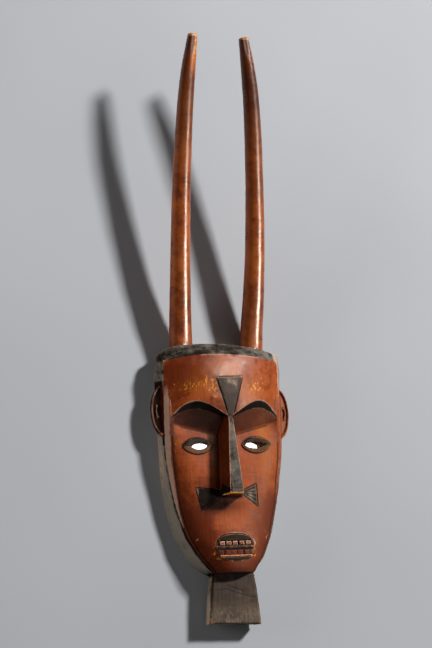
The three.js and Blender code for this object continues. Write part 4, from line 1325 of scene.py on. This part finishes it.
def markTone(x, y, z, at):
    # less stain is lighter; the lips and the gaps between the teeth are darker; painted shade darkens the
    # upper lid, painted light lightens the lower lid, and the nose's painted shadow darkens the left mark
    lidRadius = np.hypot((np.abs(x) - eyeShape["x"]) / eyeShape["halfLength"],
                         (y - eyeShape["y"]) / eyeShape["halfHeight"])
    # painted light on the lower lid, painted shade on the upper lid, and a darker ring along the rim's outer
    # edge
    lid = (lidRadius < 1.02) * (np.where(y < eyeShape["y"], 0.4, -0.25) - 0.5 * near(lidRadius, 1, 0.15))
    brow = (y < browEdge(x)) * (y > ledgeEdge(x)) * (archAt(x) > markingShape["archFrom"])
    # the right ear is painted lighter where light falls on it, the left ear darker, in painted shade
    ear = (np.abs(x) > 78) & (z > 10) & (z < 34) & (np.abs(y - 44) < 42)
    lips, gaps = (at["mouth"] * away for away in (np.abs(y + 140) > 3.6, np.abs(y + 139.8) < 3.2))
    # the nose's painted shadow across the left mark
    paintedNoseShadowOnLeftMark = (x < -7) * (x > -43) * near(y, -66, 16)
    # the left side wall is painted lighter, painted light; the tab's left side is paler and the tab darker
    # towards the chin
    thinStainAndPaintedLight = (lerp(0.2, 0.04, rising(y, 50, 30)) * at["wall"] + 0.9 * at["wallLeft"] + 0.3 * at["tabLeft"]
               + 0.35 * at["tipBare"] + lerp(0.06, -0.22, rising(y, -226, 54)) * at["tab"]
               + 0.8 * ear * (x > 0) + lid)
    # the chin's painted shadow and the painted shade beside the left ear darken it too
    thickStainAndPaintedShade = (0.05 * (at["fromTop"] > 0.5) * ~at["horn"] + 0.4 * (outlineDistance(foreheadMark, x, y) > 0)
               + at["face"] * (0.4 * paintedNoseShadowOnLeftMark + 0.3 * brow) + 0.3 * lips + 0.12 * gaps
               + 0.6 * at["earSide"] + 0.9 * at["chinShade"] + 0.3 * ear * (x < 0))
    storeAttribute(mask, "tone", patches("tone", x, y) * at["face"] + thinStainAndPaintedLight - thickStainAndPaintedShade)
    warmer = 0.15 * at["horn"] * near(y, 150, 90) + 0.5 * at["tipBare"]
    storeAttribute(mask, "warm", patches("warm", x, y) * at["face"] + warmer)


def markMatte(x, y, z, at):
    # what lies deep is less polished than what stands out
    storeAttribute(mask, "matte", falling(y, 36, 8) * at["face"] + 0.6 * at["wall"] + 2 * at["tipGroove"])


def softenEdges(sharpVertices, iterations, factor):
    # years of handling have taken the sharpness off every edge
    group = mask.vertex_groups.new(name="edges")
    group.add([int(i) for i in sharpVertices], 1.0, "REPLACE")
    activate(mask)
    rub = mask.modifiers.new("rub", "SMOOTH")
    rub.factor = factor
    rub.iterations = iterations
    rub.vertex_group = "edges"
    bpy.ops.object.modifier_apply(modifier=rub.name)
    mask.vertex_groups.clear()
    bpy.ops.object.shade_smooth_by_angle(angle=math.radians(40))


faceX, faceY, faceZ = undriftedPlaces(mask)
markPaint(faceX, faceY, faceZ)
regions = regionsOf(faceX, faceY, faceZ)
for mark in (markRubbed, markScuffs, markDeep, markPale, markTone, markMatte):
    mark(faceX, faceY, faceZ, regions)
softenEdges(markEdges(faceX, faceY), iterations=2, factor=0.4)
print("finish marked", len(mask.data.vertices))

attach(mask, "root")
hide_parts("mask")


# floor, light and camera

studio = {
    "floorSize": 12.0, "floorColours": ("#a6a8ac", "#b4b5b8"), "worldStrength": 0.05, "aim": (0, 0.05, 0.04),
    # direction, distance and size of each light in metres, its power in watts, what it doesn't show in,
    # and for the last one the spread of its beam in degrees and a point of its own to aim at
    "key": {"from": (0.62, 0.46, 0.64), "distance": 4.0, "size": (0.48, 0.48), "power": 250},
    "fill": {"from": (-0.95, 0.05, 0.16), "distance": 2.4, "size": (1.0, 1.0), "power": 26, "hide": "glossy"},
    "strip": {"from": (0.67, -0.18, 0.7), "distance": 2.3, "size": (0.42, 0.62), "power": 120,
              "hide": "diffuse"},
    "shine": {"from": (0.34, 0.33, 0.88), "distance": 1.0, "size": (0.13, 0.13), "power": 0.24,
              "hide": "diffuse", "spread": 7, "aim": (0.005, -0.052, 0.06)},
    "warmth": "#ffe2cc",  # of the two lights that only show as highlights
    # small lamps in the hollow keep the floor pale where it shows through the eyes
    "lampsAt": [-0.024, 0.05], "lampY": -0.145, "lampRise": 0.007, "lampSize": 0.02, "lampPower": 0.012}


def makeFloor():
    # matt backdrop paper, laid flat: pale grey with a very slight unevenness
    deselectAll()
    bpy.ops.mesh.primitive_plane_add(size=studio["floorSize"], location=(0, 0, 0))
    floor = bpy.context.object
    floor.name = "studio_floor"
    paper, tree = emptyMaterial("paleBackdropPaper")
    place = addNode(tree, "TexCoord", {}, (), "Object")
    tone = addNode(tree, "TexNoise", {}, {"Vector": place, "Scale": 3.0, "Detail": 1.0})
    low, high = (linear(colour) for colour in studio["floorColours"])
    colour = addNode(tree, "Mix", blend, {0: tone, 6: low, 7: high}, 2)
    shader = addNode(tree, "BsdfPrincipled", {}, {"Base Color": colour, "Roughness": 0.9,
                                                   "Specular IOR Level": 0.0})
    addNode(tree, "OutputMaterial", {}, (shader,))
    floor.data.materials.append(paper)


def addLight(name, place, target, size, power, hide=""):
    bpy.ops.object.light_add(type="AREA", location=place)
    light = bpy.context.object
    light.name = name
    light.data.shape = "RECTANGLE"
    light.data.size, light.data.size_y = size
    light.data.energy = power
    light.rotation_euler = (Vector(target) - Vector(place)).to_track_quat("-Z", "Y").to_euler()
    light.visible_glossy = hide != "glossy"
    light.visible_diffuse = hide != "diffuse"
    if hide == "diffuse":
        light.data.color = linear(studio["warmth"])[:3]
    return light


def makeStudio():
    makeFloor()
    for name in ("key", "fill", "strip", "shine"):
        lamp = studio[name]
        target = Vector(lamp.get("aim", studio["aim"]))
        place = target + Vector(lamp["from"]).normalized() * lamp["distance"]
        light = addLight(name, place, target, lamp["size"], lamp["power"], lamp.get("hide", ""))
        light.data.spread = math.radians(lamp.get("spread", 180))
    for x in studio["lampsAt"]:
        place = (x, studio["lampY"], studio["lampRise"])
        lamp = addLight("hollowLamp", place, (x, studio["lampY"], 0), [studio["lampSize"]] * 2,
                        studio["lampPower"], "glossy")
        lamp.visible_camera = False
    bpy.context.scene.view_settings.view_transform = "Standard"
    world = bpy.data.worlds.new("studio")
    bpy.context.scene.world = world
    world.use_nodes = True
    world.node_tree.nodes["Background"].inputs["Strength"].default_value = studio["worldStrength"]
    world.node_tree.nodes["Background"].inputs["Color"].default_value = (1, 1, 1, 1)


# the photograph's camera: degrees round the mask and below it, and the rest in metres
view = {"turn": 20, "below": 10, "distance": 2.860, "across": 0.01298017663, "up": -0.15743240418,
        "focalPixels": 2200, "pictureHeight": 648, "aim": (0, -0.1514257, 0.035), "sensor": 24}


def makeCamera():
    # right, up and back are the camera's own axes in the mask's frame
    turn, below = math.radians(view["turn"]), math.radians(view["below"])
    back = Vector((-math.sin(turn), -math.sin(below) * math.cos(turn), math.cos(below) * math.cos(turn)))
    up = Vector((0, math.cos(below), math.sin(below)))
    right = Vector((math.cos(turn), -math.sin(below) * math.sin(turn), math.cos(below) * math.sin(turn)))
    place = Vector(view["aim"]) + back * view["distance"] - right * view["across"] - up * view["up"]
    bpy.ops.object.camera_add(location=place)
    camera = bpy.context.object
    camera.matrix_world = Matrix(((right.x, up.x, back.x, place.x), (right.y, up.y, back.y, place.y),
                                  (right.z, up.z, back.z, place.z), (0, 0, 0, 1)))
    camera.data.sensor_fit = "VERTICAL"
    camera.data.sensor_height = view["sensor"]
    camera.data.lens = view["sensor"] * view["focalPixels"] / view["pictureHeight"]
    camera.data.clip_end = 50
    bpy.context.scene.camera = camera


makeStudio()
makeCamera()
print("studio ready")
